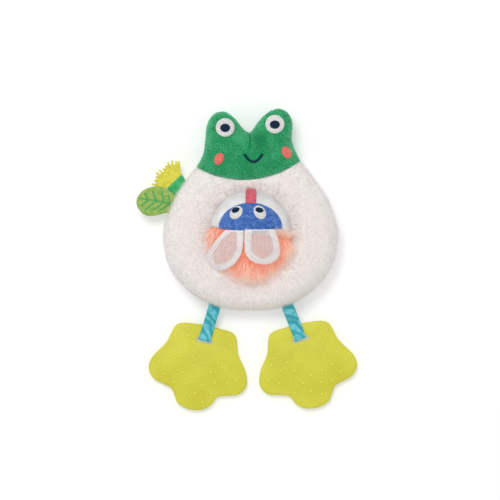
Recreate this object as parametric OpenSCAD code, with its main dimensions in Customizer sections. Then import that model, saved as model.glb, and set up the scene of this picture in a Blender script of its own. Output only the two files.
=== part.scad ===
// Frog rattle: a plush ring with a frog's head, a fly hung in the hole and two teether feet on ribbons.
// It lies on its back. +Z is the front, +Y points to the head, and sizes are in millimetres.

/* [Ring] */
// Place of the hole's centre from left to right
ring_x = 3.1; // [-10:0.1:10]
// Place of the hole's centre from feet to head
ring_y = 21.7; // [10:0.1:30]
// Radius of the hole
hole_r = 35; // [34.5:0.5:37]
// Radius of the ring at its sides
ring_side_r = 70.4; // [67:0.2:72]
// Radius of the ring at its foot end
ring_foot_r = 62.5; // [59:0.5:64]
// Half the thickness of the stuffing and cloth where they are fullest
body_half = 17.5; // [16:0.5:19]
// Depth by which the back is pressed flat
back_flat = 2; // [2:0.1:3]
// Thickness of the plush cloth with its pile
plush_t = 2; // [1.5:0.1:2.5]

/* [Head] */
// Radius of the seam between head and ring
neck_seam_r = 77; // [75:0.5:79]
// Diameter of an eye
eye_d = 15; // [12:0.5:17]
// Width of a pupil
pupil_w = 8; // [6:0.5:9]
// Width of a cheek
cheek_w = 7.6; // [6:0.2:9]
// Height of a cheek
cheek_h = 10.4; // [8:0.2:12]
// Width of the smile
mouth_w = 14.4; // [10:0.2:18]
// Drop of the smile
mouth_drop = 6.2; // [4:0.2:8]

/* [Fly] */
// Radius of the fly's ball as seen from the front
fly_r = 33; // [31:0.2:33]
// Half the thickness of the fly's ball
fly_half = 24; // [22:0.5:26]
// Height of the ball's centre above the table
fly_z = 25; // [24:0.5:27]
// Thickness of the fly's cloth
fly_cloth_t = 1.4; // [1:0.1:2]
// Half width of the blue face
face_half_w = 25.4; // [22:0.2:27]
// Height of the blue face above the waist seam
face_h = 21.4; // [18:0.2:23]
// Width of the tongue ribbon
tongue_w = 8; // [6:0.5:10]
// Thickness of the tongue ribbon
tongue_t = 0.8; // [0.5:0.1:1.2]

/* [Rattle] */
// Outer radius of the capsule
capsule_r = 15; // [13:0.5:16]
// Wall of the capsule
capsule_t = 1.2; // [1:0.1:1.6]
// Diameter of a bead
bead_d = 5; // [4:0.5:5]

/* [Wings] */
// Length of the left wing
left_wing_length = 34; // [28:0.5:36]
// Greatest width of the left wing
left_wing_w = 26.5; // [22:0.5:27]
// Length of the right wing
right_wing_length = 28.5; // [24:0.5:32]
// Greatest width of the right wing
right_wing_w = 28.5; // [24:0.5:29]
// Width of the binding round a wing
binding_w = 4; // [3:0.2:5]
// Thickness of the binding
binding_t = 1; // [0.8:0.1:1.4]
// Spacing of the net's gaps
net_pitch = 2; // [1.8:0.1:3]

/* [Tags] */
// Length of the leaf
leaf_length = 27.5; // [24:0.5:32]
// Greatest width of the leaf
leaf_w = 25; // [18:0.5:26]
// Thickness of one layer of the leaf
leaf_layer_t = 1; // [0.8:0.1:1.4]
// Number of strands in the flower's fringe
strand_count = 13; // [9:2:15]
// Length of a strand outside the calyx
strand_length = 12; // [9:0.5:15]
// Height of the calyx
calyx_h = 7; // [5:0.5:9]

/* [Feet] */
// Size of a foot, one for the size as sold
foot_scale = 1; // [0.95:0.01:1.02]
// Thickness of a foot
foot_t = 5; // [4:0.5:6]
// Length of the slot for the ribbon
slot_length = 14.3; // [12.5:0.2:15]
// Width of the slot
slot_w = 3.6; // [3:0.2:3.9]
// Radius of a nub
nub_r = 1.5; // [1:0.1:1.8]
// Distance by which a nub stands out
nub_rise = 0.75; // [0.4:0.05:1]
// Width of the leg ribbon
strap_w = 10; // [8:0.5:11]
// Thickness of the leg ribbon
strap_t = 0.7; // [0.5:0.1:0.9]

/* [Hidden] */
$fn = 48;

cream = "#ebe2dc";
frog_green = "#3f9569";
navy = "#20374e";
coral = "#e9827a";
white = "#e9e8e6";
tongue_red = "#d55e66";
fly_blue = "#587bbc";
fur_orange = "#eba88c";
leaf_green = "#8fb462";
vein_green = "#5aac61";
flower_yellow = "#d9d352";
calyx_green = "#4fb66d";
lime = "#d8d548";
teal = "#3fadb5";
capsule_clear = "#dfe6ea";
bead_red = "#c8453c";

// Sections of the body are squarer than an ellipse where this is above 2.
fullness = 2.4;
section_steps = 6;
half_per_width = 0.55;
sewn_gap = 0.3;
fill_gap = 0.4;

// The ring's outline on one side, as the angle from the foot end and the share of its swelling.
ring_keys = [[0, 0], [20, 0.24], [42, 0.64], [66, 1], [90, 0.95], [114, 0.6], [130, 0.52]];
// The head's outline from its right corner over both eye bumps to its left corner.
head_keys = [
  [39.9, 57.4], [34.8, 67.2], [32.3, 77], [32.9, 88], [29.6, 96], [22.6, 99.3], [14.5, 96.3], [7.5, 89.6],
  [2.2, 82.4], [-2.2, 80.3], [-7.2, 83.8], [-13, 91.2], [-20.9, 96.8], [-29.3, 94.9], [-34.2, 87],
  [-35.4, 77], [-37.4, 63.5], [-43.2, 52.2]
];
left_eye_at = [-20.2, 83.7];
right_eye_at = [19.4, 86.3];
left_cheek_at = [-25, 58.6];
right_cheek_at = [28.7, 63.8];
mouth_at = [2.3, 62.5];
cheek_lean = 28;

fly_y = 0.4;
waist_y = 1.8;
fly_row_points = 24;
tongue_end_y = 23.6;
left_wing_root = [-12.4, 1.8];
right_wing_root = [7.2, 2.4];
left_wing_root_w = 13.6;
right_wing_root_w = 24;
left_wing_lean = 25;
right_wing_lean = -9;
wing_lift = 0.6;

leaf_base_angle = 159.9;
leaf_turn = 81;
// The leaf's outline from its upper side round the tip to its lower side, as shares of width and length.
leaf_keys = [
  [0.36, 0.04], [0.432, 0.207], [0.476, 0.38], [0.456, 0.536], [0.336, 0.783], [0.168, 0.928], [-0.048, 1],
  [-0.28, 0.946], [-0.436, 0.79], [-0.508, 0.634], [-0.492, 0.471], [-0.428, 0.308], [-0.352, 0.167]
];
// Start of each pair of veins on the midrib, then lean and length of the upper and of the lower vein.
vein_keys = [
  [0.5, 23, 7, 47, 10.4], [5.7, 20, 9.3, 45, 11.6], [11.8, 29, 8.8, 43, 11.6], [17.8, 42, 6.4, 45, 8]
];
flower_base_angle = 147.4;
flower_turn = 44;
tag_gap = 0.5;

left_strap_angle = -115.9;
right_strap_angle = -63.2;
left_strap_lean = -17;
right_strap_lean = 21.5;
left_foot_lean = -13;
right_foot_lean = 14.7;
strap_length = 28.7;
foot_slot_y = 21.7;
foot_z = 1.3;
// The foot's outline as angle and radius: heel corners, side toes, middle toe and the dips between them.
foot_keys = [
  [90, 33.6], [106, 35.2], [126, 39], [150, 33.7], [172, 38], [188, 41.6], [201, 39.4], [213, 32.4],
  [225, 28.8], [238, 32.2], [252, 34.6], [270, 34.8], [286, 33.4], [298, 29.4], [309, 27.6], [321, 31],
  [333, 37.1], [346, 39.8], [360, 37.6], [385, 32.5], [411, 38.3], [435, 34.7]
];
foot_edge = [[1.8, 0], [0.6, 0.1], [0, 0.32], [0, 0.68], [0.6, 0.9], [1.8, 1]];
nub_spacing = 5.3;

function polar(angle, r) = r * [cos(angle), sin(angle)];

// A smooth curve that passes through every point.
function between(a, b, c, d, t) =
  (2 * b + (c - a) * t + (2 * a - 5 * b + 4 * c - d) * t ^ 2 + (3 * b - a - 3 * c + d) * t ^ 3) / 2;

function curve(points, steps, end_steps) =
  let (last = len(points) - 1)
  [
    for (i = [0 : last - 1])
      let (count = min(i, last - 1 - i) < 2 ? end_steps : steps)
      for (k = [0 : count - 1])
        between(points[max(i - 1, 0)], points[i], points[i + 1], points[min(i + 2, last)], k / count),
    points[last]
  ];

function closed_curve(points, steps) =
  let (n = len(points))
  [
    for (i = [0 : n - 1], k = [0 : steps - 1])
      between(points[(i + n - 1) % n], points[i], points[(i + 1) % n], points[(i + 2) % n], k / steps)
  ];

function mean(points) = [for (p = points) 1] * points / len(points);

// Skin over matching loops, from one end point to the other.
module capped_loft(start, loops, finish) {
  m = len(loops[0]);
  n = len(loops);
  first = 1;
  last = first + (n - 1) * m;
  end = n * m + 1;
  sides = [
    for (i = [0 : n - 2], j = [0 : m - 1])
      let (a = first + i * m + j, b = first + i * m + (j + 1) % m)
      each [[a, a + m, b + m], [a, b + m, b]]
  ];
  start_cap = [for (j = [0 : m - 1]) [0, first + j, first + (j + 1) % m]];
  end_cap = [for (j = [0 : m - 1]) [end, last + (j + 1) % m, last + j]];
  polyhedron([start, for (loop = loops) each loop, finish], concat(sides, start_cap, end_cap), convexity = 6);
}

// Skin over matching loops whose last one joins the first.
module closed_loft(loops) {
  m = len(loops[0]);
  n = len(loops);
  sides = [
    for (i = [0 : n - 1], j = [0 : m - 1])
      let (a = i * m + j, b = i * m + (j + 1) % m, step = i == n - 1 ? -(n - 1) * m : m)
      each [[a, a + step, b + step], [a, b + step, b]]
  ];
  polyhedron([for (loop = loops) each loop], sides, convexity = 8);
}

// Outline of the whole body: the head from right to left, then the ring round its foot end.
ring_half = [for (key = ring_keys) [key[0], ring_foot_r + (ring_side_r - ring_foot_r) * key[1]]];
last_ring_key = len(ring_keys) - 1;
left_side = [
  head_keys[len(head_keys) - 1],
  for (i = [last_ring_key : -1 : 0]) polar(270 - ring_half[i][0], ring_half[i][1])
];
right_side = [for (i = [1 : last_ring_key]) polar(270 + ring_half[i][0], ring_half[i][1]), head_keys[0]];
head_edge = curve(head_keys, 2, 2);
ring_edge = curve(concat(left_side, right_side), 2, 2);
body_edge = concat(head_edge, [for (i = [1 : len(ring_edge) - 2]) ring_edge[i]]);
head_polar = [for (edge = head_edge) [atan2(edge.y, edge.x), norm(edge)]];
ring_polar = [for (edge = ring_edge) [(atan2(edge.y, edge.x) + 450) % 360, norm(edge)]];

// The seam between head and ring is an arc through the head's two corners.
neck_left = head_keys[len(head_keys) - 1];
neck_chord = head_keys[0] - neck_left;
neck_rise = sqrt(neck_seam_r ^ 2 - (norm(neck_chord) / 2) ^ 2);
neck_centre = (head_keys[0] + neck_left) / 2 + neck_rise * [-neck_chord.y, neck_chord.x] / norm(neck_chord);

function half_height(edge_r) = min(half_per_width * (edge_r - hole_r), body_half);

function seam_z(edge_r) = half_height(edge_r) - back_flat;

// A section runs from the hole's edge at 0 over its crest at 90 to the outer edge at 180.
function section_point(edge, turn, inset, side) =
  let (
    reach = (norm(edge) - hole_r) / 2 - inset,
    rise = half_height(norm(edge)) - inset,
    across = sign(cos(turn)) * abs(cos(turn)) ^ (2 / fullness),
    up = max(sin(turn), 0) ^ (2 / fullness),
    r = (norm(edge) + hole_r) / 2 - reach * across,
    z = seam_z(norm(edge)) + side * rise * up
  )
  [each r * edge / norm(edge), side < 0 ? max(z, inset) : z];

function cover_section(edge, side) =
  let (
    skin = [for (k = [0 : section_steps]) section_point(edge, 180 * k / section_steps, 0, side)],
    lining = [for (k = [section_steps : -1 : 0]) section_point(edge, 180 * k / section_steps, plush_t, side)],
    loop = concat(skin, lining)
  )
  side > 0 ? loop : [for (i = [len(loop) - 1 : -1 : 0]) loop[i]];

module body_cover(side) closed_loft([for (edge = body_edge) cover_section(edge, side)]);

// Everything on the head's side of the neck seam.
module head_side() {
  translate([neck_centre.x, neck_centre.y, -1])
    cylinder(h = 2 * body_half + 2, r = neck_seam_r, $fn = 240);
}

module ring_cover(side) {
  difference() {
    body_cover(side);
    head_side();
  }
}

module head_cover(side) {
  intersection() {
    body_cover(side);
    head_side();
  }
}

module ring_front_cover() color(cream) ring_cover(1);

module ring_back_cover() color(cream) ring_cover(-1);

module head_front_cover() color(frog_green) head_cover(1);

module head_back_cover() color(frog_green) head_cover(-1);

module body_stuffing() {
  inset = plush_t + fill_gap;
  color(white)
    closed_loft([
      for (edge = body_edge)
        [
          for (k = [0 : section_steps]) section_point(edge, 180 * k / section_steps, inset, 1),
          for (k = [section_steps - 1 : -1 : 1]) section_point(edge, 180 * k / section_steps, inset, -1)
        ]
    ]);
}

// Height of the head's front at a point.
head_front = function(p)
  let (
    edge_r = lookup(atan2(p.y, p.x), head_polar),
    across = abs(1 - 2 * (norm(p) - hole_r) / (edge_r - hole_r)),
    up = (1 - across ^ fullness) ^ (1 / fullness)
  )
  seam_z(edge_r) + half_height(edge_r) * up;

// Height of the fly's front at a point.
fly_front = function(p)
  fly_z + fly_half * sqrt(1 - (p.x / fly_r) ^ 2 - ((p.y - fly_y) / fly_r) ^ 2);

function oval(at, w, h, turn, count) = [
  for (i = [0 : count - 1])
    let (a = 360 * i / count, x = w / 2 * cos(a), y = h / 2 * sin(a))
    at + [x * cos(turn) - y * sin(turn), x * sin(turn) + y * cos(turn)]
];

// A sewn patch that follows the form under it.
module patch(outline, at, height_at, lift, thick) {
  shares = [0.4, 0.75, 1];
  function row(share, up) = [
    for (p = outline)
      let (q = at + share * (p - at))
      [q.x, q.y, height_at(q) + up]
  ];
  capped_loft(
    [at.x, at.y, height_at(at) + lift],
    concat(
      [for (share = shares) row(share, lift)],
      [for (i = [2 : -1 : 0]) row(shares[i], lift + thick)]
    ),
    [at.x, at.y, height_at(at) + lift + thick]
  );
}

module eye_white(at) color(white) patch(oval(at, eye_d, eye_d, 0, 24), at, head_front, 0.5, 1);

module pupil(at) {
  color(navy)
    patch(oval(at, pupil_w, pupil_w * 0.84, 0, 16), at, head_front, 1.65, 0.5);
}

module cheek(at, lean) color(coral) patch(oval(at, cheek_w, cheek_h, lean, 16), at, head_front, 0.5, 0.5);

module left_eye_white() eye_white(left_eye_at);

module right_eye_white() eye_white(right_eye_at);

module left_pupil() pupil(left_eye_at + [0, -0.4]);

module right_pupil() pupil(right_eye_at + [0, -0.4]);

module left_cheek() cheek(left_cheek_at, -cheek_lean);

module right_cheek() cheek(right_cheek_at, cheek_lean);

module mouth() {
  stroke = 1.4;
  lift = 0.5;
  thick = 0.6;
  loops = [
    for (k = [0 : 12])
      let (
        s = k / 6 - 1,
        p = mouth_at + [mouth_w / 2 * s, -mouth_drop * (1 - s ^ 2)],
        slope = 2 * mouth_drop * s / (mouth_w / 2),
        out = stroke / 2 * [-slope, 1] / norm([slope, 1]),
        high = head_front(p + out),
        low = head_front(p - out)
      )
      [
        [each (p - out), low + lift], [each (p + out), high + lift],
        [each (p + out), high + lift + thick], [each (p - out), low + lift + thick]
      ]
  ];
  color(navy) capped_loft(mean(loops[0]), loops, mean(loops[12]));
}

// A row of points round the fly at a height along its length.
function fly_row(y, inset) =
  let (share = sqrt(max(1 - (y / (fly_r - inset)) ^ 2, 0)))
  [
    for (i = [0 : fly_row_points - 1])
      let (a = 360 * i / fly_row_points)
      [(fly_r - inset) * share * cos(a), fly_y + y, fly_z + (fly_half - inset) * share * sin(a)]
  ];

// Rows from one turn to another, where 0 is the top of the ball and 180 its foot.
function fly_rows(from, to, count, inset, first, last) = [
  for (k = [first : count - last])
    fly_row((fly_r - inset) * cos(from + (to - from) * k / count), inset)
];

function fly_pole(side, inset) = [0, fly_y + side * (fly_r - inset), fly_z];

function waist_turn(inset) = acos((waist_y - fly_y) / (fly_r - inset));

module fly_head_cover() {
  inner = fly_cloth_t;
  color(white)
    capped_loft(
      fly_pole(1, 0),
      concat(
        fly_rows(0, waist_turn(0), 6, 0, 1, 0),
        fly_rows(waist_turn(inner), 0, 6, inner, 0, 1)
      ),
      fly_pole(1, inner)
    );
}

module fly_body_cover() {
  inner = fly_cloth_t;
  color(fur_orange)
    capped_loft(
      fly_pole(-1, inner),
      concat(
        fly_rows(180, waist_turn(inner), 6, inner, 1, 0),
        fly_rows(waist_turn(0), 180, 6, 0, 0, 1)
      ),
      fly_pole(-1, 0)
    );
}

module fly_stuffing() {
  inset = fly_cloth_t + fill_gap;
  color(white)
    difference() {
      capped_loft(fly_pole(1, inset), fly_rows(0, 180, 10, inset, 1, 1), fly_pole(-1, inset));
      translate([0, fly_y, fly_z]) sphere(capsule_r + sewn_gap);
    }
}

module fly_face() {
  base = waist_y + 0.8;
  rim = [for (i = [0 : 14]) [face_half_w * cos(i * 180 / 14), base + face_h * sin(i * 180 / 14)]];
  foot = [for (i = [1 : 5]) [face_half_w * (i / 3 - 1), base]];
  color(fly_blue) patch(concat(rim, foot), [0, base + face_h * 0.4], fly_front, 0.4, 0.5);
}

module fly_eye(side) {
  at = [side * 9.5 - 2, 15.7];
  color(white) patch(oval(at, 9.6, 10.8, side * 20, 20), at, fly_front, 1, 0.6);
}

module fly_pupil(side) {
  at = [side * 9.2 - 2.1, 17.8];
  color(navy) patch(oval(at, 6, 3.8, side * -14, 14), at, fly_front, 1.7, 0.4);
}

module fly_left_eye() fly_eye(-1);

module fly_right_eye() fly_eye(1);

module fly_left_pupil() fly_pupil(-1);

module fly_right_pupil() fly_pupil(1);

module tongue_ribbon() {
  root = [hole_r - sewn_gap, body_half - back_flat];
  end_turn = acos((tongue_end_y - fly_y) / (fly_r + sewn_gap));
  function over(turn, lift) = [
    fly_y + (fly_r + lift) * cos(turn),
    fly_z + (fly_half + lift) * sin(turn)
  ];
  under_side = [for (turn = [8 : 6 : end_turn]) over(turn, sewn_gap)];
  top_side = [for (turn = [8 : 6 : end_turn]) over(turn, sewn_gap + tongue_t)];
  back = [for (i = [len(top_side) - 1 : -1 : 0]) top_side[i]];
  color(tongue_red)
    translate([0.3 - tongue_w / 2, 0, 0])
      rotate([90, 0, 90])
        linear_extrude(tongue_w)
          polygon(concat([root - [tongue_t, 0]], under_side, back, [root]));
}

module capsule_half(side) {
  inner = capsule_r - capsule_t;
  color(capsule_clear)
    translate([0, fly_y, fly_z])
      mirror([0, 0, side < 0 ? 1 : 0])
        difference() {
          sphere(capsule_r);
          sphere(inner);
          translate([0, 0, -capsule_r]) cube(2 * capsule_r, center = true);
        }
}

module capsule_front() {
  lip_r = capsule_r - capsule_t - 0.2;
  color(capsule_clear) {
    capsule_half(1);
    translate([0, fly_y, fly_z])
      difference() {
        translate([0, 0, -1.6]) cylinder(h = 5.2, r = lip_r);
        translate([0, 0, -2]) cylinder(h = 6, r = lip_r - 0.9);
      }
  }
}

module capsule_back() capsule_half(-1);

// Beads lie in a ring in the lower half of the capsule.
module bead(turn) {
  clear = capsule_r - capsule_t - bead_d / 2 - 1.2;
  spread = clear * 0.53;
  drop = sqrt(clear ^ 2 - spread ^ 2);
  color(bead_red)
    translate([0, fly_y, fly_z - drop])
      rotate(turn)
        translate([spread, 0, 0])
          sphere(bead_d / 2);
}

module bead_1() bead(0);

module bead_2() bead(60);

module bead_3() bead(120);

module bead_4() bead(180);

module bead_5() bead(240);

module bead_6() bead(300);

// Half the width of a wing at a share of its length.
function wing_half(root_w, full_w, share) =
  let (swell = sin(90 * min(share / 0.6, 1)), taper = max(share - 0.6, 0) / 0.4)
  (root_w + (full_w - root_w) * swell) / 2 * sqrt(max(1 - taper ^ 2, 0));

function wing_outline(root_w, full_w, length, lean, inset) =
  let (
    steps = 14,
    reach = length - 2 * inset,
    right = [
      for (k = [0 : steps])
        let (share = sin(90 * k / steps), half = wing_half(root_w - 2 * inset, full_w - 2 * inset, share))
        [half, -inset - reach * share]
    ],
    left = [for (k = [steps - 1 : -1 : 0]) [-right[k].x, right[k].y]]
  )
  [for (p = concat(right, left)) [p.x + p.y * tan(lean), p.y]];

module wing_net_2d(root_w, full_w, length, lean) {
  gap = net_pitch - 0.7;
  reach = length - 2 * binding_w;
  count = ceil(length / net_pitch);
  difference() {
    polygon(wing_outline(root_w, full_w, length, lean, binding_w));
    for (i = [-count : count], j = [0 : count]) {
      y = -binding_w - net_pitch * (j + 0.6);
      x = net_pitch * (i + (j % 2) / 2);
      share = (-y - binding_w) / reach;
      far_share = share + gap / reach;
      half = min(
        wing_half(root_w - 2 * binding_w, full_w - 2 * binding_w, share - gap / reach),
        wing_half(root_w - 2 * binding_w, full_w - 2 * binding_w, far_share)
      );
      if (far_share < 0.97 && abs(x) + gap * 0.9 < half)
        translate([x + y * tan(lean), y])
          rotate(45)
            square(gap, center = true);
    }
  }
}

module wing_binding_2d(root_w, full_w, length, lean) {
  difference() {
    polygon(wing_outline(root_w, full_w, length, lean, 0));
    polygon(wing_outline(root_w, full_w, length, lean, binding_w));
  }
}

// Lays a flat wing on the plane that touches the fly near the middle of the wing.
module on_fly(root, touch) {
  rise = fly_front(touch) - fly_z;
  slope_x = -touch.x * (fly_half / fly_r) ^ 2 / rise;
  slope_y = -(touch.y - fly_y) * (fly_half / fly_r) ^ 2 / rise;
  translate([touch.x, touch.y, fly_z + rise + wing_lift])
    rotate(atan(norm([slope_x, slope_y])), [slope_y, -slope_x, 0])
      translate(root - touch)
        children();
}

module on_left_wing() on_fly(left_wing_root, [-12, -6]) children();

module on_right_wing() on_fly(right_wing_root, [8, -7]) children();

module left_wing_net() {
  color(white)
    on_left_wing()
      translate([0, 0, binding_t * 0.3])
        linear_extrude(binding_t * 0.4)
          wing_net_2d(left_wing_root_w, left_wing_w, left_wing_length, left_wing_lean);
}

module left_wing_binding() {
  color(white)
    on_left_wing()
      linear_extrude(binding_t)
        wing_binding_2d(left_wing_root_w, left_wing_w, left_wing_length, left_wing_lean);
}

module right_wing_net() {
  color(white)
    on_right_wing()
      translate([0, 0, binding_t * 0.3])
        linear_extrude(binding_t * 0.4)
          wing_net_2d(right_wing_root_w, right_wing_w, right_wing_length, right_wing_lean);
}

module right_wing_binding() {
  color(white)
    on_right_wing()
      linear_extrude(binding_t)
        wing_binding_2d(right_wing_root_w, right_wing_w, right_wing_length, right_wing_lean);
}

// Radius of the ring's outline in a direction from the hole's centre.
function ring_r(angle) = lookup((angle + 450) % 360, ring_polar);

function ring_edge_at(angle) = polar(angle, ring_r(angle));

// Turn at which a piece stands square on the ring's outer edge.
function edge_turn(angle) =
  let (along = ring_edge_at(angle - 4) - ring_edge_at(angle + 4))
  atan2(along.y, along.x);

// Puts a piece at the ring's outer edge and turns it there.
module at_ring_edge(angle, turn, z) {
  base = polar(angle, ring_r(angle) + tag_gap);
  translate([base.x, base.y, z]) rotate(turn) children();
}

leaf_z = seam_z(ring_r(leaf_base_angle)) + 0.6;
flower_z = seam_z(ring_r(flower_base_angle)) - 2.6;
leaf_base_w = leaf_w * 0.56;
leaf_slant = edge_turn(leaf_base_angle) - leaf_turn;
flower_slant = edge_turn(flower_base_angle) - flower_turn;

// The base of the leaf is cut along the ring's edge.
module leaf_2d() {
  base_rise = leaf_base_w / 2 * tan(leaf_slant);
  rim = curve([for (key = leaf_keys) [key.x * leaf_w, key.y * leaf_length]], 3, 3);
  polygon(concat([[leaf_base_w / 2, base_rise]], rim, [[-leaf_base_w / 2, -base_rise]]));
}

module stitch_line(from, to, w) {
  along = (to - from) / norm(to - from);
  out = w / 2 * [-along.y, along.x];
  polygon([from + out, from - out, to - out, to + out]);
}

module on_leaf(z) at_ring_edge(leaf_base_angle, leaf_turn, leaf_z + z) children();

module leaf_front() {
  color(leaf_green)
    on_leaf(leaf_layer_t) linear_extrude(leaf_layer_t) leaf_2d();
}

module leaf_back() {
  color(leaf_green)
    on_leaf(0) linear_extrude(leaf_layer_t) leaf_2d();
}

module leaf_veins() {
  vein_w = 1;
  color(vein_green)
    on_leaf(2 * leaf_layer_t)
      linear_extrude(0.4) {
        stitch_line([0, 0.5], [0, leaf_length * 0.93], vein_w);
        for (key = vein_keys) {
          start = [0, key[0] * leaf_length / 27.5];
          stitch_line(start, start + key[2] * leaf_w / 25 * [cos(key[1]), sin(key[1])], vein_w);
          stitch_line(start, start + key[4] * leaf_w / 25 * [-cos(key[3]), sin(key[3])], vein_w);
        }
      }
}

module on_flower(z) at_ring_edge(flower_base_angle, flower_turn, flower_z + z) children();

calyx_base_w = 14;
calyx_top_w = 16.8;
fringe_tip_w = 29;
fringe_t = 0.8;
fringe_tuck = 4;

module calyx_2d() {
  base_rise = calyx_base_w / 2 * tan(flower_slant);
  polygon([
    [-calyx_base_w / 2, -base_rise], [calyx_base_w / 2, base_rise],
    [calyx_top_w / 2, calyx_h], [-calyx_top_w / 2, calyx_h]
  ]);
}

module fringe_2d() {
  root = calyx_h - fringe_tuck;
  span = calyx_top_w - 3.2;
  translate([-span / 2, root]) square([span, fringe_tuck]);
  for (k = [0 : strand_count - 1]) {
    t = 2 * k / (strand_count - 1) - 1;
    uneven = 0.06 * sin(140 * k);
    foot = [t * (span - 0.9) / 2, calyx_h - 0.5];
    tip = [t * fringe_tip_w / 2, calyx_h + strand_length * (1 - 0.22 * t ^ 2 + uneven)];
    polygon([foot - [0.45, 0], foot + [0.45, 0], tip + [0.8, 0], tip - [0.8, 0]]);
  }
}

module flower_fringe() {
  color(flower_yellow)
    on_flower(0.8) linear_extrude(fringe_t) fringe_2d();
}

module flower_calyx() {
  color(calyx_green)
    on_flower(0)
      difference() {
        linear_extrude(2.4) calyx_2d();
        translate([-calyx_top_w / 2, calyx_h - fringe_tuck, 0.8])
          cube([calyx_top_w, fringe_tuck + 1, fringe_t]);
      }
}

// A ribbon loop that leaves the ring's seam and goes round the bar above the foot's slot.
module strap(angle, lean) {
  root_z = seam_z(ring_r(angle));
  over_z = foot_z + foot_t + sewn_gap;
  under_z = foot_z - sewn_gap;
  bend = strap_length * 0.55;
  end = strap_length;
  outside = [
    [0, root_z + strap_t], [bend, over_z + strap_t], [end + strap_t, over_z + strap_t],
    [end + strap_t, under_z - strap_t], [bend, under_z - strap_t], [0, root_z - strap_t]
  ];
  inside = [[0.6, root_z - 0.4], [bend, over_z], [end, over_z], [end, under_z], [bend, under_z]];
  points = concat(outside, inside);
  color(teal)
    at_ring_edge(angle, lean, 0)
      translate([strap_w / 2, 0, 0])
        rotate([90, 0, -90])
          linear_extrude(strap_w)
            polygon(points, [[0, 1, 2, 3, 4, 5], [6, 7, 8, 9, 10]]);
}

module left_strap() strap(left_strap_angle, left_strap_lean);

module right_strap() strap(right_strap_angle, right_strap_lean);

foot_outline = closed_curve([for (key = foot_keys) polar(key[0], key[1] * foot_scale)], 3);
foot_polar = [for (p = foot_outline) [(atan2(p.y, p.x) + 360) % 360, norm(p)]];

module slot_2d() {
  straight = slot_length - slot_w;
  square([straight, slot_w], center = true);
  for (side = [-1, 1]) translate([side * straight / 2, 0]) circle(d = slot_w);
}

module foot_plate() {
  loops = [
    for (step = foot_edge)
      [for (p = foot_outline) let (q = p * (1 - step[0] / norm(p))) [q.x, q.y, foot_t * step[1]]]
  ];
  difference() {
    capped_loft([0, 0, 0], loops, [0, 0, foot_t]);
    translate([0, foot_slot_y, -1]) linear_extrude(foot_t + 2) slot_2d();
  }
}

// Nubs follow a sunflower spiral, clear of the rim, the slot and the ribbon.
module foot_nubs() {
  for (i = [0 : 42]) {
    angle = 137.5 * i;
    r = nub_spacing * sqrt(i + 0.6);
    p = polar(angle, r);
    inside = r + 4.2 < lookup(angle % 360, foot_polar);
    clear = abs(p.x) > slot_length / 2 + 3 || p.y < foot_slot_y - slot_w / 2 - 4;
    if (inside && clear) translate([p.x, p.y, foot_t + nub_rise - nub_r]) sphere(nub_r);
  }
}

module teether(angle, strap_lean, foot_lean, side) {
  slot_mid = strap_length + strap_t / 2;
  color(lime)
    at_ring_edge(angle, strap_lean, foot_z)
      translate([0, -slot_mid, 0])
        rotate(foot_lean - strap_lean)
          translate([0, -foot_slot_y, 0])
            mirror([side < 0 ? 1 : 0, 0, 0]) {
              foot_plate();
              foot_nubs();
            }
}

module left_teether() teether(left_strap_angle, left_strap_lean, left_foot_lean, -1);

module right_teether() teether(right_strap_angle, right_strap_lean, right_foot_lean, 1);

module placed() translate([ring_x, ring_y, 0]) children();

placed() ring_front_cover();
placed() ring_back_cover();
placed() head_front_cover();
placed() head_back_cover();
placed() body_stuffing();
placed() left_eye_white();
placed() right_eye_white();
placed() left_pupil();
placed() right_pupil();
placed() left_cheek();
placed() right_cheek();
placed() mouth();
placed() tongue_ribbon();
placed() fly_head_cover();
placed() fly_body_cover();
placed() fly_face();
placed() fly_left_eye();
placed() fly_right_eye();
placed() fly_left_pupil();
placed() fly_right_pupil();
placed() fly_stuffing();
placed() capsule_front();
placed() capsule_back();
placed() bead_1();
placed() bead_2();
placed() bead_3();
placed() bead_4();
placed() bead_5();
placed() bead_6();
placed() left_wing_net();
placed() left_wing_binding();
placed() right_wing_net();
placed() right_wing_binding();
placed() leaf_front();
placed() leaf_back();
placed() leaf_veins();
placed() flower_fringe();
placed() flower_calyx();
placed() left_strap();
placed() right_strap();
placed() left_teether();
placed() right_teether();
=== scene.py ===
# %% [markdown]
# # A plush frog rattle
# The toy is a stuffed ring with a frog's head. A stuffed fly hangs in the hole by a tongue of ribbon, and two
# silicone feet hang on ribbon loops. The frame already holds every piece at its real size and place, so this
# lesson makes the looks alone: pile, fur, thread, net, ribbon, felt and silicone.

# %% Load the frame
import math

import bpy
import bmesh
import numpy as np
from mathutils import Matrix, Vector
from mathutils.bvhtree import BVHTree


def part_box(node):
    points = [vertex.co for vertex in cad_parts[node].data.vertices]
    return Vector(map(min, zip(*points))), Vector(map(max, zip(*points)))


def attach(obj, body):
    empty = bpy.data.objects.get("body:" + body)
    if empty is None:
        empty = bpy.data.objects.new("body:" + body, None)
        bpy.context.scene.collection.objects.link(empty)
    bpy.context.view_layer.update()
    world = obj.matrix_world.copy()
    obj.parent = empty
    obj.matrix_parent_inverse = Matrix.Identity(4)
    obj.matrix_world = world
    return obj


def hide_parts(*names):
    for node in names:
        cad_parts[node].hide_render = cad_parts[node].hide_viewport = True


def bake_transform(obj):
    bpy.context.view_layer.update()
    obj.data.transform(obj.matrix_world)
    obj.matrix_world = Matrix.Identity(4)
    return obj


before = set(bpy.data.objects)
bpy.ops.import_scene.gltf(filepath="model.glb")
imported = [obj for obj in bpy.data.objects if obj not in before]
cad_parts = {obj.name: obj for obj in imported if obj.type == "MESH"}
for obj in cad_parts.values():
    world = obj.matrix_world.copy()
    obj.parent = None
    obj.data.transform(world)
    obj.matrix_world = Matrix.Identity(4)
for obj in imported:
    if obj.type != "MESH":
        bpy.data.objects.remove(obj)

scene = bpy.context.scene
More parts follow.
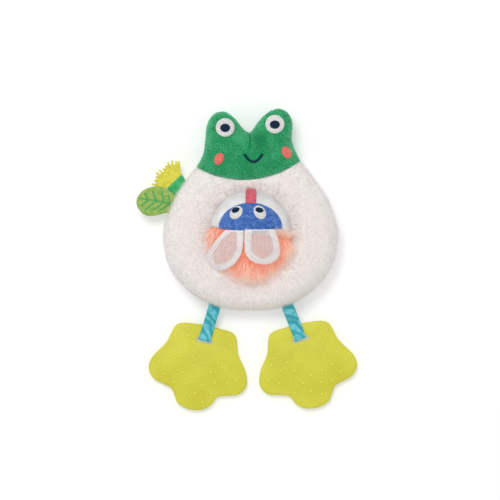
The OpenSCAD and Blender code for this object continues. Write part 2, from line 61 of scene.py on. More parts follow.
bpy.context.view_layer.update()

# %% [markdown]
# ## One place to measure from
# A ring toy is easiest to describe from the middle of its hole. The rattle capsule sits in the middle of the
# fly, so its box gives that point. Shapes below are written in millimetres from there, and one function turns
# them into a mesh in the frame's metres. Points that coincide are joined, so poles and seams are closed.
# Another function ties each finished piece to the body that carries it.

# %% Millimetres about the hole
MM = 0.001
FLY_ABOVE_HOLE = 0.4
capsule_lo, capsule_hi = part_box("capsule_back")
FLY_Z = capsule_hi.z / MM
hole = np.array([
    (capsule_lo.x + capsule_hi.x) / 2 / MM,
    (capsule_lo.y + capsule_hi.y) / 2 / MM - FLY_ABOVE_HOLE,
    0.0,
])


def weld(points, faces):
    """Joins points that coincide, and drops the faces that vanish with them."""
    points = np.asarray(points, float)
    _, first, same = np.unique(points.round(3), axis=0, return_index=True, return_inverse=True)
    same = same.ravel()
    kept = []
    for face in faces:
        corners = [int(same[i]) for i in face]
        corners = [c for i, c in enumerate(corners) if c != corners[i - 1]]
        if len(set(corners)) > 2:
            kept.append(corners)
    return points[first], kept, same


def metres(p):
    """A point in the frame's metres, from one in millimetres about the hole."""
    return [float(v) for v in (np.asarray(p, float) + hole) * MM]


def mesh_of(name, shape):
    """A plain mesh from a bmesh, which is then freed."""
    mesh = bpy.data.meshes.new(name)
    shape.to_mesh(mesh)
    shape.free()
    return mesh


def link(name, mesh):
    """Puts a mesh into the scene as an object at the origin."""
    piece = bpy.data.objects.new(name, mesh)
    scene.collection.objects.link(piece)
    return piece


def solid(name, points, faces, material=None, held=()):
    """A closed mesh from points in millimetres about the hole, with the held points in a seam group."""
    points, faces, same = weld(points, faces)
    mesh = bpy.data.meshes.new(name)
    mesh.from_pydata(((points + hole) * MM).tolist(), [], faces)
    shape = bmesh.new()
    shape.from_mesh(mesh)
    bmesh.ops.recalc_face_normals(shape, faces=shape.faces)
    shape.to_mesh(mesh)
    shape.free()
    mesh.shade_smooth()
    piece = link(name, mesh)
    if material:
        mesh.materials.append(material)
    if len(held):
        seam = piece.vertex_groups.new(name="seam")
        seam.add(sorted({int(same[i]) for i in held}), 1.0, "REPLACE")
    return piece


def loft(loops, closed):
    """Points and quads of a skin over matching closed loops."""
    count, size = len(loops), len(loops[0])
    faces = []
    for i in range(count if closed else count - 1):
        for j in range(size):
            a, b = i * size, (i + 1) % count * size
            k = (j + 1) % size
            faces.append((a + j, a + k, b + k, b + j))
    return np.vstack(loops), faces


def dress(piece, body, slot, *nodes):
    """Ties a piece to its body, and hides the solids that it stands for; its slot is not used."""
    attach(piece, body)
    if nodes:
        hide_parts(*nodes)


def settled(piece):
    """Turns a piece's live modifiers into plain mesh."""
    bpy.context.view_layer.update()
    made = bpy.data.meshes.new_from_object(piece.evaluated_get(bpy.context.evaluated_depsgraph_get()))
    piece.modifiers.clear()
    piece.data = made
    return piece


print("hole centre in mm", hole.round(2), "fly centre height", round(FLY_Z, 2))

# %% [markdown]
# ## Nodes in one line each
# Shader and geometry trees are built from the same call: it adds a node, sets its properties, and fills its
# inputs with plain values or with the outputs of other nodes. Colours are written as the sRGB hex values that
# a picture editor shows, and one function turns them into the linear numbers that the renderer works in. No
# real cloth or plastic has one even colour, so most finishes start as patches of two close tones.

# %% Node and colour helpers
def node(tree, kind, inputs=None, **settings):
    """Adds a node and returns its outputs."""
    added = tree.nodes.new(kind)
    for name, value in settings.items():
        setattr(added, name, value)
    for key, value in (inputs or {}).items():
        if isinstance(value, bpy.types.NodeSocket):
            tree.links.new(value, added.inputs[key])
        else:
            added.inputs[key].default_value = value
    return added.outputs


def colour(hex_code):
    """Linear colour from an sRGB hex value."""
    channels = [int(hex_code[i:i + 2], 16) / 255 for i in (1, 3, 5)]
    return [c / 12.92 if c <= 0.04045 else ((c + 0.055) / 1.055) ** 2.4 for c in channels] + [1.0]


def material(name, plain):
    """A new material, with the plain numbers set on its shader's own sockets."""
    made = bpy.data.materials.new(name)
    made.use_nodes = True
    shader = made.node_tree.nodes["Principled BSDF"]
    for socket, value in plain.items():
        shader.inputs[socket].default_value = value
    return made, made.node_tree, shader


def mottled(name, plain, dark, light, patch_mm, spread=0.15):
    """A material in soft patches between two hex values, sharper where the noise's spread is small."""
    made, tree, shader = material(name, plain)
    place = node(tree, "ShaderNodeTexCoord")["Object"]
    noise = node(tree, "ShaderNodeTexNoise", {"Vector": place, "Scale": 1 / (patch_mm * MM), "Detail": 2.0})
    share = node(tree, "ShaderNodeMapRange", {
        "Value": noise[0], "From Min": 0.5 - spread, "From Max": 0.5 + spread,
    })
    tint = node(tree, "ShaderNodeMix", {0: share[0], 6: colour(dark), 7: colour(light)}, data_type="RGBA")[2]
    tree.links.new(tint, shader.inputs["Base Color"])
    return made, tree, shader, tint


print("helpers ready")

# %% [markdown]
# ## Camera, floor and light
# The photograph looks straight down on the toy, so the camera hangs over it with a long lens. The floor is a
# light table: white paper that glows a little, so it is pure white where nothing stands on it, keeps a faint
# shadow, and lights the toy's rim from below. One large soft lamp stands to the upper left, as the shadows to
# the lower right say, and the sky fills in the rest.

# %% Camera
PHOTO_SIDE_PX = 500
MM_PER_PX = 0.8
LENS, SENSOR = 300.0, 36.0
VIEW_CENTRE = (2.7, 7.7)
MIDDLE_HEIGHT = 18.0
camera_data = bpy.data.cameras.new("camera")
camera_data.lens, camera_data.sensor_width = LENS, SENSOR
camera = bpy.data.objects.new("camera", camera_data)
scene.collection.objects.link(camera)
distance = PHOTO_SIDE_PX * MM_PER_PX * LENS / SENSOR
camera.location = Vector((*VIEW_CENTRE, MIDDLE_HEIGHT + distance)) * MM
scene.camera = camera
scene.view_settings.view_transform = "Standard"
print("camera", round(distance), "mm above the toy")

# %% Floor, sky and lamp
FLOOR_HALF = 3.0
FLOOR_PAINT, FLOOR_GLOW = 0.76, 0.29
SKY_LIGHT = 0.68
LAMP_AT, LAMP_SIDE, LAMP_POWER = Vector((-0.28, 0.55, 1.4)), 0.5, 8.8


def seen_directly(tree):
    """1 for rays that carry the background to the eye, straight or off gloss and glass."""
    path = node(tree, "ShaderNodeLightPath")
    direct = path["Is Camera Ray"]
    for way in ("Is Glossy Ray", "Is Transmission Ray"):
        direct = node(tree, "ShaderNodeMath", {0: direct, 1: path[way]}, operation="MAXIMUM")[0]
    return direct


floor_mesh = bpy.data.meshes.new("floor")
corners = [(x * FLOOR_HALF, y * FLOOR_HALF, 0) for x, y in ((-1, -1), (1, -1), (1, 1), (-1, 1))]
floor_mesh.from_pydata(corners, [], [(0, 1, 2, 3)])
floor = link("floor", floor_mesh)
paint = bpy.data.materials.new("white_paper_floor")
paint.use_nodes = True
tree = paint.node_tree
tree.nodes.clear()
lit = node(tree, "ShaderNodeBsdfDiffuse", {"Color": (FLOOR_PAINT, FLOOR_PAINT, FLOOR_PAINT, 1)})
glow = node(tree, "ShaderNodeEmission", {"Strength": FLOOR_GLOW})
white = node(tree, "ShaderNodeAddShader", {0: lit[0], 1: glow[0]})
node(tree, "ShaderNodeOutputMaterial", {"Surface": white[0]})
floor_mesh.materials.append(paint)

scene.world = scene.world or bpy.data.worlds.new("sky")
scene.world.use_nodes = True
tree = scene.world.node_tree
tree.nodes.clear()
strength = node(tree, "ShaderNodeMapRange", {
    "Value": seen_directly(tree), "To Min": SKY_LIGHT, "To Max": 1.0,
})
sky = node(tree, "ShaderNodeBackground", {"Color": (1, 1, 1, 1), "Strength": strength[0]})
node(tree, "ShaderNodeOutputWorld", {"Surface": sky[0]})

lamp_data = bpy.data.lights.new("soft_lamp", "AREA")
lamp_data.size, lamp_data.energy = LAMP_SIDE, LAMP_POWER
lamp = bpy.data.objects.new("soft_lamp", lamp_data)
scene.collection.objects.link(lamp)
lamp.location = LAMP_AT
lamp.rotation_mode = "QUATERNION"
lamp.rotation_quaternion = (-LAMP_AT).to_track_quat("-Z", "Y")
print("lamp", lamp_data.energy, "W at", [round(v, 2) for v in LAMP_AT])

# %% [markdown]
# ## The stuffed body
# The ring and the head are two covers sewn together along an arc and stuffed as one. Each cross-section is a
# rounded pad whose outline follows the toy's edge, so the skin can be lofted from section to section, with a
# row of points exactly on the neck seam. The points lie a little inside the solid's cover, because the pile
# that grows on them fills the rest.

# %% Outline of the body
HOLE_R = 35.0
RING_SIDE_R, RING_FOOT_R = 70.4, 62.5
BODY_HALF, BACK_FLAT = 17.5, 2.0
HALF_PER_WIDTH, FULLNESS, HOLE_FULLNESS = 0.55, 2.4, 3.0
NECK_SEAM_R = 77.0
# Angle from the foot end, and share of the swelling from the foot's radius to the side's.
RING_KEYS = ((0, 0), (20, 0.24), (42, 0.64), (66, 1), (90, 0.95), (114, 0.6), (130, 0.52))
# From the right corner of the neck over both eye bumps to the left corner.
HEAD_KEYS = np.array([
    (39.9, 57.4), (34.8, 67.2), (32.3, 77), (32.9, 88), (29.6, 96), (22.6, 99.3), (14.5, 96.3), (7.5, 89.6),
    (2.2, 82.4), (-2.2, 80.3), (-7.2, 83.8), (-13, 91.2), (-20.9, 96.8), (-29.3, 94.9), (-34.2, 87),
    (-35.4, 77), (-37.4, 63.5), (-43.2, 52.2),
])


def polar(degrees, r):
    """A flat point at an angle and a radius."""
    return r * np.array([math.cos(math.radians(degrees)), math.sin(math.radians(degrees))])


def through(points, steps, closed=False):
    """A smooth curve through every point, with so many steps from one to the next."""
    points = np.asarray(points, float)
    n = len(points)
    curve = []
    for i in range(n if closed else n - 1):
        near = [(i + k) % n if closed else min(max(i + k, 0), n - 1) for k in (-1, 0, 1, 2)]
        a, b, c, d = points[near]
        bow, twist = 2 * a - 5 * b + 4 * c - d, 3 * b - a - 3 * c + d
        for t in np.arange(steps) / steps:
            curve.append((2 * b + (c - a) * t + bow * t**2 + twist * t**3) / 2)
    if not closed:
        curve.append(points[-1])
    return np.array(curve)


ring_half = [(angle, RING_FOOT_R + (RING_SIDE_R - RING_FOOT_R) * swell) for angle, swell in RING_KEYS]
left_side = [HEAD_KEYS[-1]] + [polar(270 - angle, r) for angle, r in reversed(ring_half)]
right_side = [polar(270 + angle, r) for angle, r in ring_half[1:]] + [HEAD_KEYS[0]]
EDGE_STEPS = 8
head_edge = through(HEAD_KEYS, EDGE_STEPS)
ring_edge = through(left_side + right_side, EDGE_STEPS)
body_edge = np.vstack([head_edge, ring_edge[1:-1]])
chord = HEAD_KEYS[0] - HEAD_KEYS[-1]
neck_rise = math.sqrt(NECK_SEAM_R**2 - (np.hypot(*chord) / 2) ** 2)
neck_middle = (HEAD_KEYS[0] + HEAD_KEYS[-1]) / 2
neck_centre = neck_middle + neck_rise * np.array([-chord[1], chord[0]]) / np.hypot(*chord)
print("outline of", len(body_edge), "points, neck arc about", neck_centre.round(1))

# %% Cross-sections
PILE_ROOT, NAP_ROOT = 1.0, 0.9
HOLE_ROOT = 0.3
RING_ROWS, HEAD_ROWS = 22, 26
GROOVE_DEPTH, GROOVE_W = 0.09, 4.0
# The darts at the notch of the head and at the hole's upper edge run along one line, from their deepest y
# to their end.
DART_X = -0.2
HEAD_DART = {"deepest": 84.0, "end": 64.0, "depth": 2.2, "width": 1.3}
RING_DART = {"deepest": 34.0, "end": 45.0, "depth": 1.6, "width": 1.7}


def seam_height(edge_r):
    """Height of the seam between the front and the back cover."""
    return min(HALF_PER_WIDTH * (edge_r - HOLE_R), BODY_HALF) - BACK_FLAT


def off_neck(points):
    """Distance of points from the neck seam, seen from above."""
    return np.abs(np.hypot(points[:, 0] - neck_centre[0], points[:, 1] - neck_centre[1]) - NECK_SEAM_R)


def section(edge, turns, inset, side):
    """Points of a cross-section from the hole's edge at turn 0 to the outer edge at half a turn."""
    edge_r = np.hypot(*edge)
    seam = seam_height(edge_r)
    rise = seam + BACK_FLAT - inset
    power = 2 / np.where(np.cos(turns) > 0, HOLE_FULLNESS, FULLNESS)
    across = np.sign(np.cos(turns)) * np.abs(np.cos(turns)) ** power
    up = np.maximum(np.sin(turns), 0) ** power
    r = (edge_r + HOLE_R) / 2 - ((edge_r - HOLE_R) / 2 - inset) * across
    r -= (inset - min(inset, HOLE_ROOT)) * np.maximum(across, 0) ** 3
    points = np.column_stack([np.outer(r, edge / edge_r), seam + side * rise * up])
    points[:, 2] -= side * rise * up * GROOVE_DEPTH * np.exp(-((off_neck(points) / GROOVE_W) ** 2))
    if side < 0:
        points[:, 2] = np.maximum(points[:, 2], inset)
    return points


def neck_turn(edge, inset):
    """Turn at which a section of the head crosses the neck seam."""
    edge_r = np.hypot(*edge)
    along = neck_centre @ edge / edge_r
    seam_r = along - math.sqrt(along**2 - neck_centre @ neck_centre + NECK_SEAM_R**2)
    across = ((edge_r + HOLE_R) / 2 - seam_r) / ((edge_r - HOLE_R) / 2 - inset)
    power = (HOLE_FULLNESS if across > 0 else FULLNESS) / 2
    return math.acos(max(-1.0, min(1.0, math.copysign(abs(across) ** power, across))))


def cover_loop(edge, first, last, rows, inset):
    """A closed loop over the front of a section and back along its rear."""
    turns = np.linspace(first, last, rows + 1)
    return np.vstack([section(edge, turns, inset, 1), section(edge, turns[::-1], inset, -1)])


def pinch(loops, rows, deepest, end, depth, width):
    """Sinks a dart into the front of the sections."""
    for loop in loops:
        front = loop[:rows + 1]
        reach = np.clip((front[:, 1] - end) / (deepest - end), 0, 1) * (front[:, 1] > 0)
        front[:, 2] -= depth * reach**0.5 * np.exp(-(((front[:, 0] - DART_X) / width) ** 2))


ring_loops = []
for i, edge in enumerate(body_edge):
    last = neck_turn(edge, PILE_ROOT) if i < len(head_edge) else math.pi
    ring_loops.append(cover_loop(edge, 0.0, last, RING_ROWS, PILE_ROOT))
head_loops = [cover_loop(edge, neck_turn(edge, NAP_ROOT), math.pi, HEAD_ROWS, NAP_ROOT) for edge in head_edge]
pinch(head_loops, HEAD_ROWS, **HEAD_DART)
pinch(ring_loops, RING_ROWS, **RING_DART)
print("ring of", len(ring_loops), "sections, head of", len(head_loops))

# %% [markdown]
# ## Filling the covers
# Stuffing presses a cover outwards, and only its seams hold it in. That is what Cloth pressure does, so each
# cover starts a little small, its seam rows are pinned, and a short run without gravity swells the rest. The
# move of each point is capped, so the toy keeps its size.

# %% Swell the ring and the head
SWELL_FRAMES, SWELL_PRESSURE = 20, 4.0
RING_SWELL, HEAD_SWELL = 0.8, 0.6


def swollen(piece, most):
    """Swells a cover by Cloth pressure between its pinned seams, by at most so many millimetres."""
    rest = np.array([v.co for v in piece.data.vertices])
    cloth = piece.modifiers.new("swell", "CLOTH")
    stuff = cloth.settings
    stuff.quality, stuff.mass = 5, 0.2
    stuff.tension_stiffness = stuff.compression_stiffness = 25
    stuff.shear_stiffness, stuff.bending_stiffness = 10, 1.5
    stuff.use_pressure, stuff.uniform_pressure_force = True, SWELL_PRESSURE
    stuff.effector_weights.gravity = 0
    stuff.vertex_group_mass = "seam"
    cloth.collision_settings.use_collision = False
    for step in range(1, SWELL_FRAMES + 1):
        scene.frame_set(step)
    done = piece.evaluated_get(bpy.context.evaluated_depsgraph_get())
    move = np.array([v.co for v in done.data.vertices]) - rest
    length = np.linalg.norm(move, axis=1, keepdims=True)
    move *= np.minimum(1, most * MM / np.maximum(length, 1e-9))
    piece.modifiers.remove(cloth)
    piece.data.vertices.foreach_set("co", (rest + move).ravel())
    piece.data.update()
    scene.frame_set(1)
    mean = float(np.linalg.norm(move, axis=1).mean()) / MM
    print(piece.name, "swelled by", round(mean, 2), "mm on average")
    return piece


def refined(piece):
    """One round of subdivision, kept as plain mesh."""
    smooth = piece.modifiers.new("smooth", "SUBSURF")
    smooth.levels = smooth.render_levels = 1
    return settled(piece)


def stuffed(name, loops, rows, closed, most):
    """A cover lofted over its sections, swelled between its two seams and smoothed."""
    size = 2 * rows + 2
    seams = [i * size + k for i in range(len(loops)) for k in (0, rows, rows + 1, size - 1)]
    points, faces = loft(loops, closed)
    return refined(swollen(solid(name, points, faces, held=seams), most))


ring_cover = stuffed("ring_cover", ring_loops, RING_ROWS, True, RING_SWELL)
head_cover = stuffed("head_cover", head_loops, HEAD_ROWS, False, HEAD_SWELL)
for piece, nodes in (
    (ring_cover, ("ring_front_cover", "ring_back_cover", "body_stuffing")),
    (head_cover, ("head_front_cover", "head_back_cover")),
):
    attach(piece, "frog")
    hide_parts(*nodes)
    print(piece.name, len(piece.data.polygons), "faces")

# %% [markdown]
# ## Strands that grow on a cover
# Plush, velour and fur are the same thing at other lengths: thousands of fibres that stand on a backing and
# lean together in tufts. A hair system would be lost in the export, so one Geometry Nodes tree grows real
# strands: it scatters roots on the cover, aims each strand by the cover's normal, by a slow noise for the
# tufts and by a combing direction, draws it to its lock, and shortens it near whatever presses on the pile.
# Each strand keeps how far along it a point is and a tone that its lock shares, for the material. The tips
# that would pass through the table are laid on it.

# %% Trees and their results
def new_tree(name, inputs, output):
    """A Geometry Nodes tree with inputs named by kind and one mesh output, and its input sockets."""
    tree = bpy.data.node_groups.new(name, "GeometryNodeTree")
    for kind, names in inputs.items():
        for socket in names:
            tree.interface.new_socket(socket, in_out="INPUT", socket_type="NodeSocket" + kind)
    tree.interface.new_socket(output, in_out="OUTPUT", socket_type="NodeSocketGeometry")
    return tree, node(tree, "NodeGroupInput")


def end_tree(tree, shape, finish):
    """Ends a tree with real mesh for the instances, smooth faces and a material."""
    whole = node(tree, "GeometryNodeRealizeInstances", {"Geometry": shape})
    smooth = node(tree, "GeometryNodeSetShadeSmooth", {"Geometry": whole[0]})
    done = node(tree, "GeometryNodeSetMaterial", {"Geometry": smooth[0], "Material": finish})
    node(tree, "NodeGroupOutput", {0: done[0]})
    print(tree.name, "tree with", len(tree.nodes), "nodes")
    return tree


def grown_by(tree, name, source, values):
    """Runs a tree on an object's mesh and returns the result as a plain mesh piece."""
    maker = link(name + "_maker", source.data)
    run = maker.modifiers.new("tree", "NODES")
    run.node_group = tree
    sockets = {item.name: item.identifier for item in tree.interface.items_tree if item.in_out == "INPUT"}
    for key, value in values.items():
        run[sockets[key]] = value
    bpy.context.view_layer.update()
    made = bpy.data.meshes.new_from_object(maker.evaluated_get(bpy.context.evaluated_depsgraph_get()))
    bpy.data.objects.remove(maker)
    piece = link(name, made)
    print(name, len(made.polygons), "faces")
    return piece


# %% The strand tree
TAPER, LEAST_GROWN, MOST_GROWN, TOO_SHORT = 0.8, 0.7, 1.15, 0.06


def strand_tree():
    """Grows strands on a cover: their shape, their roots and aim, and their length."""
    tree, given = new_tree("strands", {
        "Geometry": ("Cover",),
        "Float": (
            "Density", "Length", "Radius", "Bend", "Lift", "Tuft size", "Tuft lean", "Stray", "Locks",
            "Lock pull", "Lock tone", "Press reach", "Least share",
        ),
        "Int": ("Points", "Seed"), "Vector": ("Comb",), "Object": ("Pressed by",), "Material": ("Material",),
    }, "Strands")
    seed = given["Seed"]

    # One strand: a line that bends to the side and tapers to a point.
    tip = node(tree, "ShaderNodeCombineXYZ", {"Z": given["Length"]})
    line = node(tree, "GeometryNodeCurvePrimitiveLine", {"End": tip[0]})
    line = node(tree, "GeometryNodeResampleCurve", {"Curve": line[0], "Count": given["Points"]})
    along = node(tree, "GeometryNodeSplineParameter")["Factor"]
    line = node(tree, "GeometryNodeStoreNamedAttribute", {
        "Geometry": line[0], "Name": "along", "Value": along,
    })
    square = node(tree, "ShaderNodeMath", {0: along, 1: along}, operation="MULTIPLY")
    aside = node(tree, "ShaderNodeMath", {0: square[0], 1: given["Bend"]}, operation="MULTIPLY")
    aside = node(tree, "ShaderNodeCombineXYZ", {"X": aside[0]})
    line = node(tree, "GeometryNodeSetPosition", {"Geometry": line[0], "Offset": aside[0]})
    thin = node(tree, "ShaderNodeMath", {0: along, 1: -TAPER, 2: 1.0}, operation="MULTIPLY_ADD")
    thin = node(tree, "ShaderNodeMath", {0: thin[0], 1: given["Radius"]}, operation="MULTIPLY")
    profile = node(tree, "GeometryNodeCurvePrimitiveCircle", {"Resolution": 3, "Radius": 1.0})
    strand = node(tree, "GeometryNodeCurveToMesh", {
        "Curve": line[0], "Profile Curve": profile[0], "Scale": thin[0], "Fill Caps": True,
    })

    # Roots on the cover, and the way that each strand points.
    roots = node(tree, "GeometryNodeDistributePointsOnFaces", {
        "Mesh": given["Cover"], "Density": given["Density"], "Seed": seed,
    })
    place = node(tree, "GeometryNodeInputPosition")[0]
    scale = node(tree, "ShaderNodeMath", {0: 1.0, 1: given["Tuft size"]}, operation="DIVIDE")
    tuft = node(tree, "ShaderNodeTexNoise", {"Vector": place, "Scale": scale[0], "Detail": 1.0})["Color"]
    tuft = node(tree, "ShaderNodeVectorMath", {0: tuft, 1: (0.5, 0.5, 0.5)}, operation="SUBTRACT")
    tuft = node(tree, "ShaderNodeVectorMath", {0: tuft[0], "Scale": given["Tuft lean"]}, operation="SCALE")
    stray = node(tree, "FunctionNodeRandomValue", {0: (-1, -1, -1), 1: (1, 1, 1), "Seed": seed},
                 data_type="FLOAT_VECTOR")
    stray = node(tree, "ShaderNodeVectorMath", {0: stray[0], "Scale": given["Stray"]}, operation="SCALE")
    out = node(tree, "ShaderNodeVectorMath", {0: roots["Normal"], "Scale": given["Lift"]}, operation="SCALE")

    # Locks: each strand leans to the nearest of a few sparse points, so that tips meet and gaps open between.
    locks = node(tree, "GeometryNodeDistributePointsOnFaces", {
        "Mesh": given["Cover"], "Density": given["Locks"], "Seed": seed,
    })
    lock = node(tree, "GeometryNodeProximity", {0: locks["Points"], "Sample Position": place},
                target_element="POINTS")
    pull = node(tree, "ShaderNodeMath", {0: given["Lock pull"], 1: given["Length"]}, operation="DIVIDE")
    to_lock = node(tree, "ShaderNodeVectorMath", {0: lock["Position"], 1: place}, operation="SUBTRACT")
    to_lock = node(tree, "ShaderNodeVectorMath", {0: to_lock[0], "Scale": pull[0]}, operation="SCALE")
    way = out[0]
    for push in (tuft[0], stray[0], given["Comb"], to_lock[0]):
        way = node(tree, "ShaderNodeVectorMath", {0: way, 1: push}, operation="ADD")[0]
    aim = node(tree, "FunctionNodeAlignRotationToVector", {"Vector": way}, axis="Z")
    spin = node(tree, "FunctionNodeRandomValue", {2: 0.0, 3: 2 * math.pi, "Seed": seed}, data_type="FLOAT")
    spin = node(tree, "ShaderNodeCombineXYZ", {"Z": spin[1]})
    spin = node(tree, "FunctionNodeEulerToRotation", {0: spin[0]})
    aim = node(tree, "FunctionNodeRotateRotation", {0: aim[0], 1: spin[0]}, rotation_space="LOCAL")

    # Length of each strand: random, and shorter where something presses on the pile.
    presser = node(tree, "GeometryNodeObjectInfo", {"Object": given["Pressed by"]})
    near = node(tree, "GeometryNodeProximity", {0: presser["Geometry"], "Sample Position": place})
    free = node(tree, "ShaderNodeMapRange", {
        "Value": near["Distance"], "From Max": given["Press reach"], "To Min": given["Least share"],
    })
    none = node(tree, "ShaderNodeMath", {0: 1.0, 1: near["Is Valid"]}, operation="SUBTRACT")
    free = node(tree, "ShaderNodeMath", {0: free[0], 1: none[0]}, operation="MAXIMUM")
    grown = node(tree, "FunctionNodeRandomValue", {2: LEAST_GROWN, 3: MOST_GROWN, "Seed": seed},
                 data_type="FLOAT")
    grown = node(tree, "ShaderNodeMath", {0: grown[1], 1: free[0]}, operation="MULTIPLY")
    tall = node(tree, "FunctionNodeCompare", {0: grown[0], 1: TOO_SHORT}, operation="GREATER_THAN")
    stand = node(tree, "GeometryNodeInstanceOnPoints", {
        "Points": roots["Points"], "Selection": tall[0], "Instance": strand[0],
        "Rotation": aim[0], "Scale": grown[0],
    })
    own_tone = node(tree, "FunctionNodeRandomValue", {2: 0.0, 3: 1.0, "Seed": seed}, data_type="FLOAT")
    lock_tone = node(tree, "ShaderNodeTexWhiteNoise", {"Vector": lock["Position"]})
    tone = node(tree, "ShaderNodeMix", {0: given["Lock tone"], 2: own_tone[1], 3: lock_tone["Value"]})
    toned = node(tree, "GeometryNodeStoreNamedAttribute", {
        "Geometry": stand[0], "Name": "tone", "Value": tone[0],
    }, domain="INSTANCE")
    return end_tree(tree, toned[0], given["Material"])


strands = strand_tree()

# %% Where strands grow and where they rest
PRESSED = 1.5


def faces_of(piece, keep):
    """A throwaway object with the faces of a piece whose centre and normal pass a test."""
    shape = bmesh.new()
    shape.from_mesh(piece.data)
    drop = []
    for face in shape.faces:
        if not keep(np.array(face.calc_center_median()) / MM - hole, face.normal):
            drop.append(face)
    bmesh.ops.delete(shape, geom=drop, context="FACES")
    return bpy.data.objects.new("part", mesh_of("part", shape))


def rested(piece):
    """Presses the strands whose tips would pass through the table up onto it."""
    at = np.empty(3 * len(piece.data.vertices))
    piece.data.vertices.foreach_get("co", at)
    height = at[2::3] / MM
    squeezed = PRESSED * np.exp(np.minimum(height / PRESSED - 1, 0))
    at[2::3] = np.where(height < PRESSED, squeezed, height) * MM
    piece.data.vertices.foreach_set("co", at)
    piece.data.update()
    return piece


print("strands below", PRESSED, "mm are pressed towards the table")

# %% [markdown]
# ## Plush and velour
# Cream plush is a knitted backing with a few millimetres of soft curly polyester pile, matt and a little
# translucent, so it shows no highlight, and a faint painted glow keeps its hollows light. Green velour is the
# same cloth cut short; where its nap leans it has patches of painted shade and painted sheen, a painted
# shadow along the dart and a faint painted glow. Both take their colour from the strand: darker at the root,
# paler at the tip, with a slow change over the cloth.

# %% Pile materials
ROOT_TO_TIP = 0.5
# Painted shade and painted sheen on the velour: darker and lighter patches where the nap leans, and a painted
# shadow along the dart's crease. Each is a point about the hole, its reach in x and y, a colour and a
# strength.
NAP_PAINTED_SHADE_AND_SHEEN = (
    ((7.0, 73.0), (10.0, 12.0), "#00804a", 0.7), ((-7.5, 75.0), (9.0, 9.0), "#62d8a4", 0.3),
    ((34.0, 70.0), (9.0, 18.0), "#74e0b0", 0.35), ((DART_X, 80.0), (1.4, 18.0), "#005a34", 0.6),
)


def pile_material(name, dark, light, patch_mm, patch_share, plain, tone_share=0.35, brushed=()):
    """Fibres that go from a dark root to a light tip, in patches that lean either way.

    Each brushed place is a patch of painted shade or painted sheen where the nap leans: a point about the
    hole, its reach in x and y, the colour painted there, and how far the nap turns to it.
    """
    made, tree, shader = material(name, plain)
    along = node(tree, "ShaderNodeAttribute", attribute_name="along")["Fac"]
    tone = node(tree, "ShaderNodeAttribute", attribute_name="tone")["Fac"]
    place = node(tree, "ShaderNodeTexCoord")["Object"]
    noise = node(tree, "ShaderNodeTexNoise", {"Vector": place, "Scale": 1 / (patch_mm * MM), "Detail": 2.0})
    patch = node(tree, "ShaderNodeMapRange", {
        "Value": noise[0], "From Min": 0.3, "From Max": 0.7, "To Min": -patch_share, "To Max": patch_share,
    })
    share = node(tree, "ShaderNodeMath", {0: along, 1: ROOT_TO_TIP, 2: patch[0]}, operation="MULTIPLY_ADD")
    share = node(tree, "ShaderNodeMath", {0: tone, 1: tone_share, 2: share[0]}, operation="MULTIPLY_ADD",
                 use_clamp=True)
    tint = node(tree, "ShaderNodeMix", {0: share[0], 6: colour(dark), 7: colour(light)}, data_type="RGBA")[2]
    # Each place mixes its painted shade or painted sheen into the colour, by its strength at its middle and
    # not at all beyond its reach.
    for at, reach, turned, strength in brushed:
        middle = metres((*at, 0.0))
        off = node(tree, "ShaderNodeVectorMath", {0: place, 1: middle}, operation="SUBTRACT")
        per_reach = (1 / (reach[0] * MM), 1 / (reach[1] * MM), 0.0)
        off = node(tree, "ShaderNodeVectorMath", {0: off[0], 1: per_reach}, operation="MULTIPLY")
        off = node(tree, "ShaderNodeVectorMath", {0: off[0]}, operation="LENGTH")["Value"]
        near = node(tree, "ShaderNodeMapRange", {"Value": off, "To Min": strength, "To Max": 0.0},
                    interpolation_type="SMOOTHSTEP")
        tint = node(tree, "ShaderNodeMix", {0: near[0], 6: tint, 7: colour(turned)}, data_type="RGBA")[2]
    tree.links.new(tint, shader.inputs["Base Color"])
    return made


# Painted glow: a faint emission lifts the plush's shade a little.
cream_plush = pile_material("cream_polyester_plush", "#eee8e5", "#f8f5f3", 14, 0.12, {
    "Roughness": 0.95, "Specular IOR Level": 0.1, "Sheen Weight": 0.25, "Sheen Roughness": 0.6,
    "Subsurface Weight": 0.5, "Subsurface Radius": (1.0, 0.95, 0.92), "Subsurface Scale": 0.8 * MM,
    "Emission Color": colour("#fff8f6"), "Emission Strength": 0.02,
})
# The pile on the hole's wall lies in shade beside the fly. It gets a stronger painted glow that lightens that
# shade.
glowing_hole_plush = pile_material("cream_polyester_plush_in_the_hole_with_painted_glow", "#f3ece8", "#fdf9f6", 14, 0.12, {
    "Roughness": 0.95, "Specular IOR Level": 0.1,
    "Emission Color": colour("#fbf8f8"), "Emission Strength": 0.2,
})
# Painted glow: a faint green emission lifts the velour's shade, most visibly at its rims.
green_velour = pile_material("green_polyester_velour", "#009454", "#6ae8b0", 9, 0.2, {
    "Roughness": 0.9, "Specular IOR Level": 0.1,
    "Sheen Weight": 1.0, "Sheen Roughness": 0.35, "Sheen Tint": colour("#9cf4c8"),
    "Emission Color": colour("#5fd8a0"), "Emission Strength": 0.04,
    "Subsurface Weight": 0.5, "Subsurface Radius": (1.0, 1.0, 1.0), "Subsurface Scale": 0.6 * MM,
}, brushed=NAP_PAINTED_SHADE_AND_SHEEN)
ring_cover.data.materials.append(cream_plush)
head_cover.data.materials.append(green_velour)
print("pile materials:", cream_plush.name, green_velour.name)

# %% Pile on the ring
SEAM_WALL = 0.15
HOLE_PILE_W, HOLE_PILE_FROM = 6.0, 14.0
RING_PILE = {
    "Radius": 0.14 * MM, "Bend": 0.9 * MM, "Points": 3, "Lift": 1.0,
    "Tuft size": 2 * MM, "Tuft lean": 1.4, "Stray": 0.6, "Comb": (0.0, 0.0, 0.0),
}


def on_skin(centre):
    """True for faces of the skin, and not for the hidden wall along the neck seam."""
    return off_neck(centre[None])[0] > SEAM_WALL


